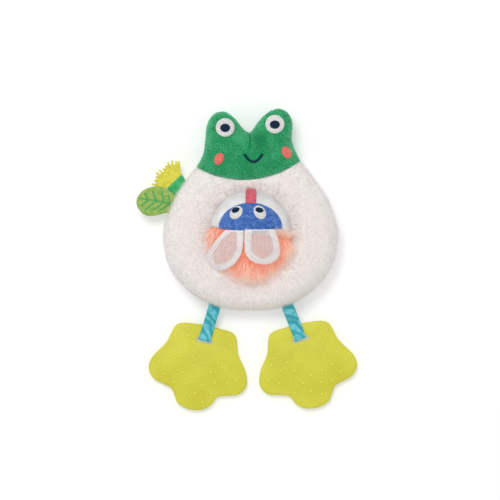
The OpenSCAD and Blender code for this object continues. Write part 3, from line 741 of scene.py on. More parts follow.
def side_of(centre, sign):
    """True on the front of the toy for 1, and on its back for -1."""
    return sign * (centre[2] - BODY_HALF + BACK_FLAT) > 0


def in_hole(centre):
    """True on the wall that faces the fly, where the pile is long enough to reach it."""
    return np.hypot(centre[0], centre[1]) < HOLE_R + HOLE_PILE_W and centre[2] > HOLE_PILE_FROM


# Name, which faces, strands to a square metre, their length in millimetres, finish and seed.
for name, keep, density, length, finish, seed in (
    ("ring_pile_front", lambda c: side_of(c, 1), 0.93e6, 2.2, cream_plush, 11),
    ("ring_pile_back", lambda c: side_of(c, -1), 0.75e6, 2.2, cream_plush, 12),
    ("ring_pile_hole", in_hole, 1.7e6, 4.2, glowing_hole_plush, 13),
):
    part = faces_of(ring_cover, lambda centre, normal: on_skin(centre) and keep(centre))
    values = {
        **RING_PILE, "Density": density, "Length": length * MM, "Material": finish, "Seed": seed,
        "Pressed by": floor, "Press reach": length * MM, "Least share": 0.1,
    }
    dress(rested(grown_by(strands, name, part, values)), "frog", "cream_plush")

# %% [markdown]
# ## Embroidered eyes, cheeks and smile
# The frog's eyes, cheeks and smile are satin stitch: threads laid side by side across the shape, drawn tight
# so that they sink at both ends. Each is made as a low padded patch that follows the head, with real threads
# over it. The threads are plain polylines, and a second tree turns any polyline into a tube.

# %% The thread tree
def thread_tree():
    """Turns the edges of a mesh into round thread."""
    tree, given = new_tree("threads", {
        "Geometry": ("Path",), "Float": ("Radius",), "Int": ("Sides",), "Material": ("Material",),
    }, "Threads")
    path = node(tree, "GeometryNodeMeshToCurve", {"Mesh": given["Path"]})
    profile = node(tree, "GeometryNodeCurvePrimitiveCircle", {
        "Resolution": given["Sides"], "Radius": given["Radius"],
    })
    tube = node(tree, "GeometryNodeCurveToMesh", {
        "Curve": path[0], "Profile Curve": profile[0], "Fill Caps": True,
    })
    return end_tree(tree, tube[0], given["Material"])


threads = thread_tree()


def sewn(name, lines, radius, finish, sides=5):
    """A piece of thread tubes along polylines in millimetres about the hole."""
    points, edges = [], []
    for line in lines:
        edges += [(len(points) + i, len(points) + i + 1) for i in range(len(line) - 1)]
        points += [metres(p) for p in line]
    mesh = bpy.data.meshes.new("path")
    mesh.from_pydata(points, edges, [])
    path = bpy.data.objects.new("path", mesh)
    return grown_by(threads, name, path, {"Radius": radius * MM, "Sides": sides, "Material": finish})


# %% Patches and satin stitch
WELL_ABOVE = 0.2
STITCH_PITCH, STITCH_R, STITCH_SINK, STITCH_REACH = 0.55, 0.34, 0.5, 0.985


def oval(at, w, h, lean, count=36):
    """Points round a leaning oval."""
    a = np.linspace(0, 2 * np.pi, count, endpoint=False)
    x, y = w / 2 * np.cos(a), h / 2 * np.sin(a)
    c, s = math.cos(math.radians(lean)), math.sin(math.radians(lean))
    return np.column_stack([at[0] + x * c - y * s, at[1] + x * s + y * c])


def pad(name, outline, under, rim, crown, finish, rows=6):
    """A closed pad over an outline: its foot follows under(p), its top rises from the rim to the crown."""
    outline = np.asarray(outline, float)
    middle = outline.mean(0)
    shares = np.linspace(0, 1, rows + 1)[1:]
    at = [[middle]] + [list(middle + share * (outline - middle)) for share in shares]
    foot = [[(*p, under(p)) for p in row] for row in at]
    rise = [rim + (crown - rim) * math.sqrt(1 - share**2) for share in (0, *shares)]
    top = [[(x, y, z + up) for x, y, z in row] for row, up in zip(foot, rise)]
    n = len(outline)
    loops = [foot[0] * n] + foot[1:] + top[:0:-1] + [top[0] * n]
    return solid(name, *loft([np.array(loop) for loop in loops], closed=False), finish)


def inside_spans(outline, start, way):
    """Where a line through start along way lies inside an outline."""
    crossings = []
    for p, q in zip(outline, np.roll(outline, -1, axis=0)):
        d = q - p
        den = way[0] * d[1] - way[1] * d[0]
        if abs(den) > 1e-9:
            off = p - start
            s = (off[0] * way[1] - off[1] * way[0]) / den
            if 0 <= s < 1:
                crossings.append((off[0] * d[1] - off[1] * d[0]) / den)
    crossings.sort()
    return list(zip(crossings[::2], crossings[1::2]))


def hatching(outline, lean, pitch, height_at, step=1.0, sink=0.0):
    """Lines across an outline at a spacing, laid on a height, whose ends sink in."""
    outline = np.asarray(outline, float)
    way, out = polar(lean, 1.0), polar(lean + 90, 1.0)
    offsets = (outline - outline.mean(0)) @ out
    lines = []
    for off in np.arange(offsets.min() + pitch / 2, offsets.max(), pitch):
        start = outline.mean(0) + off * out
        for a, b in inside_spans(outline, start, way):
            count = max(3, int((b - a) / step) + 1)
            if b - a > pitch:
                at = [start + t * way for t in np.linspace(a, b, count)]
                dip = sink * np.abs(np.linspace(-1, 1, count)) ** 6
                lines.append([(*p, height_at(p) - d) for p, d in zip(at, dip)])
    return lines


def height_on(piece):
    """A function that gives a piece's front height at a point, in millimetres."""
    points = [v.co for v in piece.data.vertices]
    shape = BVHTree.FromPolygons(points, [face.vertices for face in piece.data.polygons])

    def height_at(p):
        above = Vector(((p[0] + hole[0]) * MM, (p[1] + hole[1]) * MM, WELL_ABOVE))
        hit = shape.ray_cast(above, Vector((0, 0, -1)))[0]
        return hit.z / MM if hit else 0.0

    return height_at


def thread_material(name, dark, light, roughness):
    """Embroidery thread: twisted rayon with a soft shine, whose tone varies from strand to strand."""
    return mottled(name, {"Roughness": roughness, "Specular IOR Level": 0.2}, dark, light, patch_mm=1.2)[0]


white_thread = thread_material("white_rayon_thread", "#d0cfcd", "#eae9e7", 0.6)
navy_thread = thread_material("navy_rayon_thread", "#0b1d31", "#15304c", 0.8)
coral_thread = thread_material("coral_rayon_thread", "#e0685f", "#f08a80", 0.45)
print("threads:", white_thread.name, navy_thread.name, coral_thread.name)

# %% The frog's face
LEFT_EYE, RIGHT_EYE = (-20.2, 83.7), (19.4, 86.3)
LEFT_CHEEK, RIGHT_CHEEK = (-25.0, 58.6), (28.7, 63.8)
EYE_D, EYE_LEAN, PUPIL_W, PUPIL_H, PUPIL_DROP = 15.0, 8, 8.0, 6.8, 0.4
CHEEK_W, CHEEK_H, CHEEK_LEAN = 7.2, 10.1, 28
MOUTH_AT, MOUTH_W, MOUTH_DROP, MOUTH_STROKE, MOUTH_RISE = (2.3, 62.5), 14.4, 6.2, 1.9, 1.4
# How high each pad stands at its rim and in its middle.
EYE_RISE, PUPIL_RISE, CHEEK_RISE = (0.7, 2.0), (0.3, 0.9), (0.3, 2.2)
head_height = height_on(head_cover)
face_pads = []


def satin(name, body, node_name, outline, lean, under, rise, finish, slot):
    """A padded patch with satin stitch across it, which stands for a solid of the frame."""
    base = pad(name, outline, under, *rise, finish)
    middle = np.mean(outline, axis=0)
    lines = hatching(middle + STITCH_REACH * (outline - middle), lean, STITCH_PITCH, height_on(base),
                     sink=STITCH_SINK)
    dress(base, body, slot, node_name)
    dress(sewn(name + "_stitches", lines, STITCH_R, finish), body, slot)
    return base


for side, at, lean in (("left", LEFT_EYE, EYE_LEAN), ("right", RIGHT_EYE, -EYE_LEAN)):
    white = satin(side + "_eye", "frog", side + "_eye_white", oval(at, EYE_D, EYE_D, 0), lean,
                  head_height, EYE_RISE, white_thread, "white_thread")
    pupil_at = (at[0], at[1] - PUPIL_DROP)
    satin(side + "_eye_pupil", "frog", side + "_pupil", oval(pupil_at, PUPIL_W, PUPIL_H, 0), 90 + lean,
          height_on(white), PUPIL_RISE, navy_thread, "navy_thread")
    face_pads.append(white)
for side, at, lean in (("left", LEFT_CHEEK, -CHEEK_LEAN), ("right", RIGHT_CHEEK, CHEEK_LEAN)):
    cheek = satin(side + "_cheek_patch", "frog", side + "_cheek", oval(at, CHEEK_W, CHEEK_H, lean), lean,
                  head_height, CHEEK_RISE, coral_thread, "coral_thread")
    face_pads.append(cheek)
smile = []
for s in np.linspace(-1, 1, 33):
    slope = 2 * MOUTH_DROP * s / (MOUTH_W / 2)
    middle = np.array([MOUTH_AT[0] + MOUTH_W / 2 * s, MOUTH_AT[1] - MOUTH_DROP * (1 - s * s)])
    out = MOUTH_STROKE / 2 * np.array([-slope, 1]) / math.hypot(slope, 1)
    smile.append((middle, out))


def ribbon_pad(name, rows, under, rise, finish):
    """A low closed bead along a line of middles and half widths."""
    # Shares of the half width and of the rise, from one foot over the top to the other.
    profile = ((-1, -0.6), (-1, 0.3), (-0.6, 0.85), (0, 1), (0.6, 0.85), (1, 0.3), (1, -0.6))
    loops = [np.array([(*(m + across * o), under(m + across * o) + up * rise) for across, up in profile])
             for m, o in rows]
    ends = [np.repeat(loop.mean(0)[None], len(profile), axis=0) for loop in (loops[0], loops[-1])]
    return solid(name, *loft([ends[0], *loops, ends[1]], closed=False), finish)


mouth = ribbon_pad("smile", smile, head_height, MOUTH_RISE, navy_thread)
dress(mouth, "frog", "navy_thread", "mouth")
face_pads.append(mouth)
print("pads on the face:", [piece.name for piece in face_pads])

# %% Nap on the head
def joined(pieces):
    """A throwaway object with copies of several meshes."""
    shape = bmesh.new()
    for piece in pieces:
        shape.from_mesh(piece.data)
    return link("pressers", mesh_of("pressers", shape))


HEAD_NAP = {
    "Length": 1.3 * MM, "Radius": 0.17 * MM, "Bend": 0.4 * MM, "Points": 2, "Lift": 1.0,
    "Tuft size": 1.5 * MM, "Tuft lean": 0.8, "Stray": 0.3, "Comb": (0.0, -0.35, 0.0),
    "Locks": 4e5, "Lock pull": 1.0, "Lock tone": 0.7,
    "Press reach": 1.1 * MM, "Least share": 0.0, "Material": green_velour,
}
# Two lines beside the dart press the nap there, from one y to another.
DART_FROM, DART_TO, DART_HALF, DART_LINE_R = 66, 80, 0.3, 0.2
dart_lines = []
for x in (DART_X - DART_HALF, DART_X + DART_HALF):
    dart_lines.append([(x, y, head_height((x, y))) for y in np.linspace(DART_FROM, DART_TO, 15)])
dart = sewn("dart_line", dart_lines, DART_LINE_R, green_velour)
pressers = joined(face_pads + [dart, floor])
bpy.data.objects.remove(dart)
# Side, its sign, strands to a square metre and seed.
for side, sign, density, seed in (("front", 1, 4.2e6, 21), ("back", -1, 2.4e6, 22)):
    part = faces_of(head_cover, lambda centre, normal: on_skin(centre) and side_of(centre, sign))
    values = {**HEAD_NAP, "Density": density, "Seed": seed, "Pressed by": pressers}
    dress(rested(grown_by(strands, "head_nap_" + side, part, values)), "frog", "green_velour")
bpy.data.objects.remove(pressers)

# %% [markdown]
# ## The fly
# The fly is a flattened ball of two caps: smooth white jersey above and long orange fur below, sewn together
# round the waist. The ball is a plain rule, so its rows are computed. The caps are tilted a little, because
# the stuffed fly sits askew in the hole.

# %% The fly's ball
FLY_R, FLY_HALF = 33.0, 24.0
WAIST_Y, FLY_TILT = -0.4, -8.5
BALL_ROWS, BALL_ROUND = 20, 72
DOME_ROOT, FUR_ROOT = 0.2, 1.0
# A wave texture of scale 1 repeats at this length.
WAVE_PERIOD = 0.314


def ball_point(turn, around, inset):
    """A point on the ball: turn 0 is its top and half a turn its foot."""
    r = FLY_R - inset
    x, y = r * math.sin(turn) * math.cos(around), r * math.cos(turn)
    t = math.radians(FLY_TILT)
    z = FLY_Z + (FLY_HALF - inset) * math.sin(turn) * math.sin(around)
    return (x * math.cos(t) - y * math.sin(t), FLY_ABOVE_HOLE + x * math.sin(t) + y * math.cos(t), z)


def ball_cap(name, first, last, inset, finish):
    """A cap of the ball from its pole to the waist, closed by a flat disc."""
    rounds = np.linspace(0, 2 * np.pi, BALL_ROUND, endpoint=False)
    loops = []
    for turn in np.linspace(first, last, BALL_ROWS):
        loops.append(np.array([ball_point(turn, a, inset) for a in rounds]))
    loops.append(np.repeat(loops[-1].mean(0)[None], BALL_ROUND, axis=0))
    return solid(name, *loft(loops, closed=False), finish)


def jersey():
    """White cotton jersey: fine knitted ribs, about a millimetre apart here so that they show."""
    made, tree, shader = mottled("white_cotton_jersey", {
        "Roughness": 0.75, "Specular IOR Level": 0.25,
    }, "#d8d8d8", "#e8e8e7", patch_mm=9)[:3]
    place = node(tree, "ShaderNodeTexCoord")["Object"]
    ribs = node(tree, "ShaderNodeTexWave", {
        "Vector": place, "Scale": WAVE_PERIOD / MM, "Distortion": 1.5,
    })["Fac"]
    bump = node(tree, "ShaderNodeBump", {"Strength": 0.12, "Distance": 0.2 * MM, "Height": ribs})
    tree.links.new(bump[0], shader.inputs["Normal"])
    return made


white_jersey = jersey()
# Long fibres pass light on to one another more often than a render follows it. A faint glow stands for that.
orange_fur = pile_material("orange_faux_fur", "#e96a40", "#fff0e2", 8, 0.2, {
    "Roughness": 0.7, "Specular IOR Level": 0.2,
    "Emission Color": colour("#ffbe9c"), "Emission Strength": 0.18,
    "Subsurface Weight": 0.6, "Subsurface Radius": (1.0, 0.7, 0.6), "Subsurface Scale": 0.8 * MM,
}, tone_share=0.6)
waist = math.acos((WAIST_Y - FLY_ABOVE_HOLE) / FLY_R)
fly_dome = ball_cap("fly_dome", 0.0, waist, DOME_ROOT, white_jersey)
fly_back = ball_cap("fly_fur_backing", math.pi, waist, FUR_ROOT, orange_fur)
dress(fly_dome, "fly", "white_jersey", "fly_head_cover", "fly_stuffing")
dress(fly_back, "fly", "orange_fur", "fly_body_cover")
print("fly waist at", round(math.degrees(waist), 1), "degrees from its top")

# %% The fly's face
FACE_HALF_W, FACE_H, FACE_BASE, FACE_DROP, FACE_RISE = 25.4, 20.4, 3.2, 1.8, 0.3
FLY_EYE_SIZE, FLY_PUPIL_SIZE = (8.8, 11.8), (6.9, 4.4)
FLY_EYE_RISE, FLY_PUPIL_RISE = (0.5, 1.2), (0.2, 0.6)
LEAST_UPWARD = 0.05
blue_velour = pile_material("blue_printed_velour", "#2f6ac4", "#9ac6f6", 3, 0.25, {
    "Roughness": 0.85, "Specular IOR Level": 0.2, "Sheen Weight": 0.15,
})


def on_ball(p):
    """Height of the fly's ball at a point."""
    return FLY_Z + FLY_HALF * math.sqrt(max(0.0, 1 - (p[0]**2 + (p[1] - FLY_ABOVE_HOLE)**2) / FLY_R**2))


def faces_out(centre, normal):
    """True where a face looks away from the middle of the fly."""
    return np.dot(normal, (centre[0], centre[1], centre[2] - FLY_Z)) > 0


rim = [(FACE_HALF_W * math.cos(a), FACE_BASE + FACE_H * math.sin(a)) for a in np.linspace(0, np.pi, 41)]
foot = [(FACE_HALF_W * x, FACE_BASE - FACE_DROP * (1 - x * x)) for x in np.linspace(-1, 1, 21)[1:-1]]
face = pad("fly_face_patch", rim + foot, on_ball, FACE_RISE, FACE_RISE, blue_velour, rows=14)
dress(face, "fly", "blue_velour", "fly_face")
fly_eyes = []
face_top = height_on(face)
# Side, middle and lean of the eye, middle and lean of the pupil.
for side, eye_at, eye_lean, pupil_at, pupil_lean in (
    ("left", (-11.4, 15.7), -42, (-11.8, 17.7), 24),
    ("right", (7.4, 15.9), 34, (7.0, 17.7), -14),
):
    name = "fly_" + side
    white = satin(name + "_eye_patch", "fly", name + "_eye", oval(eye_at, *FLY_EYE_SIZE, eye_lean), eye_lean,
                  face_top, FLY_EYE_RISE, white_thread, "white_thread")
    pupil = oval(pupil_at, *FLY_PUPIL_SIZE, pupil_lean)
    satin(name + "_eye_pupil", "fly", name + "_pupil", pupil, pupil_lean + 90,
          height_on(white), FLY_PUPIL_RISE, navy_thread, "navy_thread")
    fly_eyes.append(white)
pressers = joined(fly_eyes)
part = faces_of(face, lambda centre, normal: normal.z > LEAST_UPWARD and faces_out(centre, normal))
nap = grown_by(strands, "fly_face_nap", part, {
    **HEAD_NAP, "Length": 0.9 * MM, "Radius": 0.22 * MM, "Bend": 0.2 * MM, "Density": 8e6,
    "Tuft size": 2.4 * MM, "Press reach": 0.5 * MM, "Pressed by": pressers, "Seed": 31,
    "Material": blue_velour,
})
dress(nap, "fly", "blue_velour")
bpy.data.objects.remove(pressers)

# %% [markdown]
# ## Net wings
# Each wing is a petal of stiff white net with a folded hem, sewn on under the blue face. It is laid on the
# plane that touches the fly near its middle and bends down a little towards its rim, as cloth on a ball does.
# The net is real thread in two slanting directions, and the hem is a low rounded band round it.

# %% Wings
BALL_BEND = 1 / 110
WIDEST_SHARE, WING_LIFT = 0.6, 1.4
HEM_W, ROOT_HEM = 5.6, 1.4
NET_PITCH, NET_R, NET_HEIGHT, NET_SLANTS = 1.7, 0.41, 0.45, (52, 128)
# Share of the hem's width, from the rim inwards, and height there.
HEM_PROFILE = ((0, 0.0), (0, 0.3), (0.2, 0.5), (0.5, 0.5), (0.8, 0.4), (1, 0.2), (1, 0.0), (0.5, -0.1))
# Side, middle of the root, where the wing touches the fly, width of the root, full width, length and lean.
WINGS = (
    ("left", (-12.4, 1.8), (-12, -6), 14.6, 29.0, 34.0, 27),
    ("right", (7.2, 2.4), (8, -7), 24.0, 28.5, 28.5, -9),
)


def wing_half(root_w, full_w, share):
    """Half the width of a wing at a share of its length."""
    swell = math.sin(math.pi / 2 * min(share / WIDEST_SHARE, 1))
    taper = max(share - WIDEST_SHARE, 0) / (1 - WIDEST_SHARE)
    return (root_w + (full_w - root_w) * swell) / 2 * math.sqrt(max(1 - taper**2, 0))


def wing_outline(root_w, full_w, length, lean, inset, steps=24):
    """Outline of a flat wing whose root lies along the x axis."""
    right = []
    for share in np.sin(np.linspace(0, np.pi / 2, steps + 1)):
        y = -min(inset, ROOT_HEM) - (length - min(inset, ROOT_HEM) - inset) * share
        right.append((wing_half(root_w - 2 * inset, full_w - 2 * inset, share), y))
    left = [(-x, y) for x, y in right[-2::-1]]
    return np.array([(x + y * math.tan(math.radians(lean)), y) for x, y in right + left])


def laid_on_fly(root, touch, lift):
    """A function that lays flat wing points on the fly, at a lift above the touching plane."""
    rise = on_ball(touch) - FLY_Z
    flatten = (FLY_HALF / FLY_R) ** 2
    slope = Vector((-touch[0] * flatten / rise, -(touch[1] - FLY_ABOVE_HOLE) * flatten / rise, 0))
    turn = Vector((slope.y, -slope.x, 0)).normalized()
    tilt = Matrix.Rotation(math.atan(slope.length), 3, turn)
    foot = Vector((*touch, FLY_Z + rise))

    def lay(p, up=0.0):
        flat = Vector((p[0] + root[0] - touch[0], p[1] + root[1] - touch[1], 0))
        bend = -BALL_BEND * flat.length_squared
        return tuple(foot + tilt @ (flat + Vector((0, 0, lift + bend + up))))

    return lay


def cloth_area(piece):
    """Area of one side of a thin closed piece, in square metres."""
    return sum(face.area for face in piece.data.polygons) / 2


def net_cloth(name, dark, light):
    """Nylon net: fine stiff thread with a dull shine."""
    return mottled(name, {
        "Roughness": 0.55, "Specular IOR Level": 0.35,
        "Subsurface Weight": 0.15, "Subsurface Scale": 1.0 * MM,
    }, dark, light, patch_mm=3)[0]


wing_net = net_cloth("white_nylon_net", "#e9dcda", "#f3ebea")
wing_hem = net_cloth("white_folded_net_hem", "#eae4e4", "#f5f2f2")
wing_hems = []
for side, root, touch, root_w, full_w, length, lean in WINGS:
    body = side + "_wing"
    lay = laid_on_fly(root, touch, WING_LIFT)
    outer = wing_outline(root_w, full_w, length, lean, 0)
    inner = wing_outline(root_w, full_w, length, lean, HEM_W)
    loops = []
    for share, up in HEM_PROFILE:
        loops.append(np.array([lay(p + share * (q - p), up) for p, q in zip(outer, inner)]))
    hem = solid(body + "_hem", *loft(loops, closed=True), wing_hem)
    lines = []
    for slant in NET_SLANTS:
        for line in hatching(outer, slant, NET_PITCH, lambda p: 0.0, step=1.5):
            lines.append([lay(p, NET_HEIGHT) for p in line])
    net = sewn(body + "_threads", lines, NET_R, wing_net, sides=4)
    dress(hem, body, "wing_binding", body + "_binding")
    dress(net, body, "wing_mesh", body + "_net")
    wing_hems += [hem, net]

# %% [markdown]
# ## The fly's fur
# Faux fur is a long pile that falls outwards from the waist. It is the strand tree again, with longer and
# slimmer strands that gather in locks. The wings, the ring and the table press it short.

# %% Fur
FUR = {
    "Density": 1.4e6, "Length": 11.5 * MM, "Radius": 0.2 * MM, "Bend": 3.6 * MM, "Points": 4, "Lift": 0.6,
    "Tuft size": 6 * MM, "Tuft lean": 1.6, "Stray": 0.15, "Locks": 1.1e5, "Lock pull": 0.8, "Lock tone": 0.8,
    "Least share": 0.05, "Material": orange_fur,
}
BARE_SEAM = 0.2
TUFT_X, TUFT_REACH = 19.0, 6.0


def below_waist(centre):
    """How far a point of the ball lies below the seam round its waist."""
    t = math.radians(FLY_TILT)
    return WAIST_Y - FLY_ABOVE_HOLE + centre[0] * math.sin(t) - (centre[1] - FLY_ABOVE_HOLE) * math.cos(t)


def outside(centre, normal):
    """True on the ball's skin, and not on the disc that closes it at the waist."""
    return faces_out(centre, normal) and below_waist(centre) > BARE_SEAM


def in_tuft(centre):
    """True beside the right wing, where the fur is brushed up over the seam."""
    return centre[0] > TUFT_X and centre[2] > FLY_Z and below_waist(centre) < TUFT_REACH


pressers = joined(wing_hems + [ring_cover, floor])
# Name, which faces, the way it is combed, how many millimetres from a presser it is short, and seed.
for name, keep, comb, press, seed in (
    ("fly_fur", lambda c: True, (0.0, -0.7, 0.3), 8, 41),
    ("fly_fur_tuft", in_tuft, (-0.2, 1.3, 0.4), 2, 42),
):
    part = faces_of(fly_back, lambda centre, normal: outside(centre, normal) and keep(centre))
    values = {**FUR, "Comb": comb, "Pressed by": pressers, "Press reach": press * MM, "Seed": seed}
    dress(rested(grown_by(strands, name, part, values)), "fly", "orange_fur")
bpy.data.objects.remove(pressers)

# %% [markdown]
# ## Ribbons
# The tongue and the leg loops are woven ribbon. A ribbon is one flat cross-section carried along a path, with
# a texture map in millimetres along and across it, so that the weave and the print follow the cloth.

# %% The ribbon builder
RIBBON_COLUMNS, EDGE_POWER, EDGE_LEAST = 9, 8, 0.15


def ribbon(name, path, across, width, thick, finish, bulge=None):
    """A closed strip along a path of points; across gives its sideways direction."""
    path = np.asarray(path, float)
    across = np.asarray(across, float) / np.linalg.norm(across)
    ahead = np.gradient(path, axis=0)
    normal = np.cross(ahead, across)
    normal /= np.linalg.norm(normal, axis=1, keepdims=True)
    length = np.concatenate([[0], np.cumsum(np.linalg.norm(np.diff(path, axis=0), axis=1))])
    columns = np.linspace(-0.5, 0.5, RIBBON_COLUMNS)
    loops = []
    for k, p in enumerate(path):
        top, foot = [], []
        for c in columns:
            lift = bulge(length[k], c) if bulge else 0.0
            edge = thick / 2 * math.sqrt(max(EDGE_LEAST, 1 - (2 * c) ** EDGE_POWER))
            top.append(p + across * c * width + normal[k] * (lift + edge))
            foot.append(p + across * c * width + normal[k] * (lift - edge))
        loops.append(np.array(top + foot[::-1]))
    ends = [np.repeat(loop.mean(0)[None], len(loop), axis=0) for loop in (loops[0], loops[-1])]
    piece = solid(name, *loft([ends[0], *loops, ends[1]], closed=False), finish)
    flat = piece.data.uv_layers.new(name="ribbon")
    for corner, uv in zip(piece.data.loops, flat.data):
        p = np.array(piece.data.vertices[corner.vertex_index].co) / MM - hole
        k = int(np.argmin(np.linalg.norm(path - p, axis=1)))
        uv.uv = (float((p - path[k]) @ across), float(length[k]))
    return piece


def woven(name, dark, light, patch_mm):
    """Woven ribbon: fine ribs across it, half a millimetre apart, and a soft shine."""
    made, tree, shader, tint = mottled(name, {
        "Roughness": 0.5, "Specular IOR Level": 0.35, "Sheen Weight": 0.15,
    }, dark, light, patch_mm)
    flat = node(tree, "ShaderNodeUVMap", uv_map="ribbon")[0]
    ribs = node(tree, "ShaderNodeTexWave", {"Vector": flat, "Scale": 0.6}, bands_direction="Y")["Fac"]
    bump = node(tree, "ShaderNodeBump", {"Strength": 0.2, "Distance": 0.15 * MM, "Height": ribs})
    tree.links.new(bump[0], shader.inputs["Normal"])
    return made, tree, shader, tint


print("ribbons have", RIBBON_COLUMNS, "points across each side")

# %% The tongue
red_ribbon = woven("red_woven_ribbon", "#cc4553", "#de6470", 2.5)[0]
TONGUE_W, TONGUE_T, TONGUE_X, TONGUE_END_Y = 8.4, 0.8, 0.3, 23.4
TONGUE_TUCK, TONGUE_LIFT, TONGUE_END_LIFT, TONGUE_CUPPED = 1.2, 0.9, 1, 0.25
FIRST_TURN = math.radians(8)


def over_ball(turn, lift):
    """A point over the top of the fly, seen from the side."""
    y = FLY_ABOVE_HOLE + (FLY_R + lift) * math.cos(turn)
    return (TONGUE_X, y, FLY_Z + (FLY_HALF + lift) * math.sin(turn))


end_turn = math.acos((TONGUE_END_Y - FLY_ABOVE_HOLE) / (FLY_R + TONGUE_END_LIFT))
tongue_keys = [(TONGUE_X, HOLE_R + TONGUE_TUCK, BODY_HALF - BACK_FLAT)]
tongue_keys += [over_ball(turn, TONGUE_LIFT) for turn in np.linspace(FIRST_TURN, end_turn, 6)]
tongue = ribbon("tongue", through(tongue_keys, 5), (1, 0, 0), TONGUE_W, TONGUE_T, red_ribbon,
                lambda along, c: TONGUE_CUPPED * math.cos(2 * math.pi * c))
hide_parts("tongue_ribbon")
metres(tongue_keys[0])
metres(tongue_keys[2])
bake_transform(tongue)
print("tongue of", len(tongue.data.polygons), "faces")

# %% [markdown]
# ## Seam tags
# A leaf and a flower are caught in the ring's seam. The leaf is two layers of green cloth turned and pressed
# flat, with embroidered veins. The flower is a strip of yellow felt cut into a fringe, in a folded green cup.

# %% Places on the ring's edge
# The outline's angles are measured from the foot end.
ring_angles = (np.degrees(np.arctan2(ring_edge[:, 1], ring_edge[:, 0])) + 450) % 360
ring_order = np.argsort(ring_angles)
TAG_GAP = 0.5


def ring_r(angle):
    """Radius of the ring's outline in a direction."""
    radii = np.hypot(*ring_edge[ring_order].T)
    return float(np.interp((angle + 450) % 360, ring_angles[ring_order], radii))


def at_edge(angle, turn):
    """A function that takes flat points from the ring's edge, turned, to their place."""
    base = polar(angle, ring_r(angle) + TAG_GAP)

    def place(p):
        return base + p[0] * polar(turn, 1) + p[1] * polar(turn + 90, 1)

    return place


print("ring radius at its left side", round(ring_r(180), 1))

# %% The leaf
LEAF_LENGTH, LEAF_W, LEAF_BASE_W, LEAF_T, LEAF_TUCK = 27.5, 25.0, 14.0, 1.6, 2.5
LEAF_ANGLE, LEAF_TURN, LEAF_LIFT, LEAF_RIM = 159.9, 81.0, 0.6, 0.9
MIDRIB_BOW, MIDRIB_END = 0.3, 0.93
VEIN_R, VEIN_UP = 0.55, 0.1
# Outline from the upper side round the tip to the lower side, as shares of width and length.
LEAF_KEYS = (
    (0.36, 0.04), (0.432, 0.207), (0.476, 0.38), (0.456, 0.536), (0.336, 0.783), (0.168, 0.928), (-0.048, 1),
    (-0.28, 0.946), (-0.436, 0.79), (-0.508, 0.634), (-0.492, 0.471), (-0.428, 0.308), (-0.352, 0.167),
)
# Start along the midrib, then lean and length of the vein above it and of the one below it.
VEINS = (
    (0.5, 23, 7.0, 47, 10.4), (5.7, 20, 9.3, 45, 11.6), (11.8, 29, 8.8, 43, 11.6), (17.8, 42, 6.4, 45, 8.0),
)
leaf_z = seam_height(ring_r(LEAF_ANGLE)) + LEAF_LIFT
leaf_place = at_edge(LEAF_ANGLE, LEAF_TURN)


def cloth(name, dark, light, patch_mm, weave_mm):
    """Flat cotton, felt or satin: threads that cross at a spacing, in a slightly uneven colour."""
    made, tree, shader = mottled(name, {
        "Roughness": 0.8, "Specular IOR Level": 0.2, "Sheen Weight": 0.1,
    }, dark, light, patch_mm, spread=0.2)[:3]
    place = node(tree, "ShaderNodeTexCoord")["Object"]
    weave = []
    for way in "XY":
        weave.append(node(tree, "ShaderNodeTexWave", {
            "Vector": place, "Scale": WAVE_PERIOD / (weave_mm * MM),
        }, bands_direction=way)["Fac"])
    both = node(tree, "ShaderNodeMath", {0: weave[0], 1: weave[1]}, operation="ADD")
    bump = node(tree, "ShaderNodeBump", {"Strength": 0.25, "Distance": 0.2 * MM, "Height": both[0]})
    tree.links.new(bump[0], shader.inputs["Normal"])
    return made


leaf_cloth = cloth("green_cotton_leaf", "#86a94e", "#a3be68", 3, 0.9)
leaf_stitch = thread_material("green_embroidery_thread", "#3f9d58", "#5fb96e", 0.5)
leaf_rim = through([(x * LEAF_W, y * LEAF_LENGTH) for x, y in LEAF_KEYS], 5)
leaf_flat = [(LEAF_BASE_W / 2, -LEAF_TUCK), *leaf_rim, (-LEAF_BASE_W / 2, -LEAF_TUCK)]
leaf = pad("leaf_cloth", [leaf_place(p) for p in leaf_flat], lambda p: leaf_z, LEAF_RIM, LEAF_T, leaf_cloth,
           rows=8)
leaf_top = height_on(leaf)
midrib = []
for s in np.linspace(0.0, MIDRIB_END, 12):
    midrib.append(leaf_place((MIDRIB_BOW * math.sin(3 * s), LEAF_LENGTH * s)))
vein_lines = [midrib]
for start, upper_lean, upper, lower_lean, lower in VEINS:
    for sign, lean, span in ((1, upper_lean, upper), (-1, lower_lean, lower)):
        way = np.array([sign * math.cos(math.radians(lean)), math.sin(math.radians(lean))])
        vein_lines.append([leaf_place(np.array([0, start]) + way * t) for t in np.linspace(0, span, 8)])
raised = [[(*p, leaf_top(p) + VEIN_UP) for p in line] for line in vein_lines]
veins = sewn("leaf_embroidery", raised, VEIN_R, leaf_stitch, sides=6)
dress(leaf, "leaf", "leaf_cloth", "leaf_front", "leaf_back")
dress(veins, "leaf", "leaf_stitch", "leaf_veins")
print("leaf with", len(vein_lines), "stitched lines")

# %% The flower
FLOWER_ANGLE, FLOWER_TURN, FLOWER_SINK = 147.4, 44.0, 2.6
CUP_BASE_W, CUP_TOP_W, CUP_H, CUP_RISE, CUP_TUCK, CUP_SINK = 14.2, 17.2, 7.0, (1.8, 2.8), 3.0, 0.2
STRANDS, FRINGE_LENGTH, FRINGE_CUT, FRINGE_DROP, FRINGE_TIP_W, FELT_T = 10, 14.0, 4.2, 4.4, 30.0, 0.7
FRINGE_TUCK, FRINGE_MARGIN, FRINGE_HEM, BACK_SPREAD = 1.5, 0.8, 2.6, 1.06
FRONT_UP, BACK_UP = 1.7, 0.7
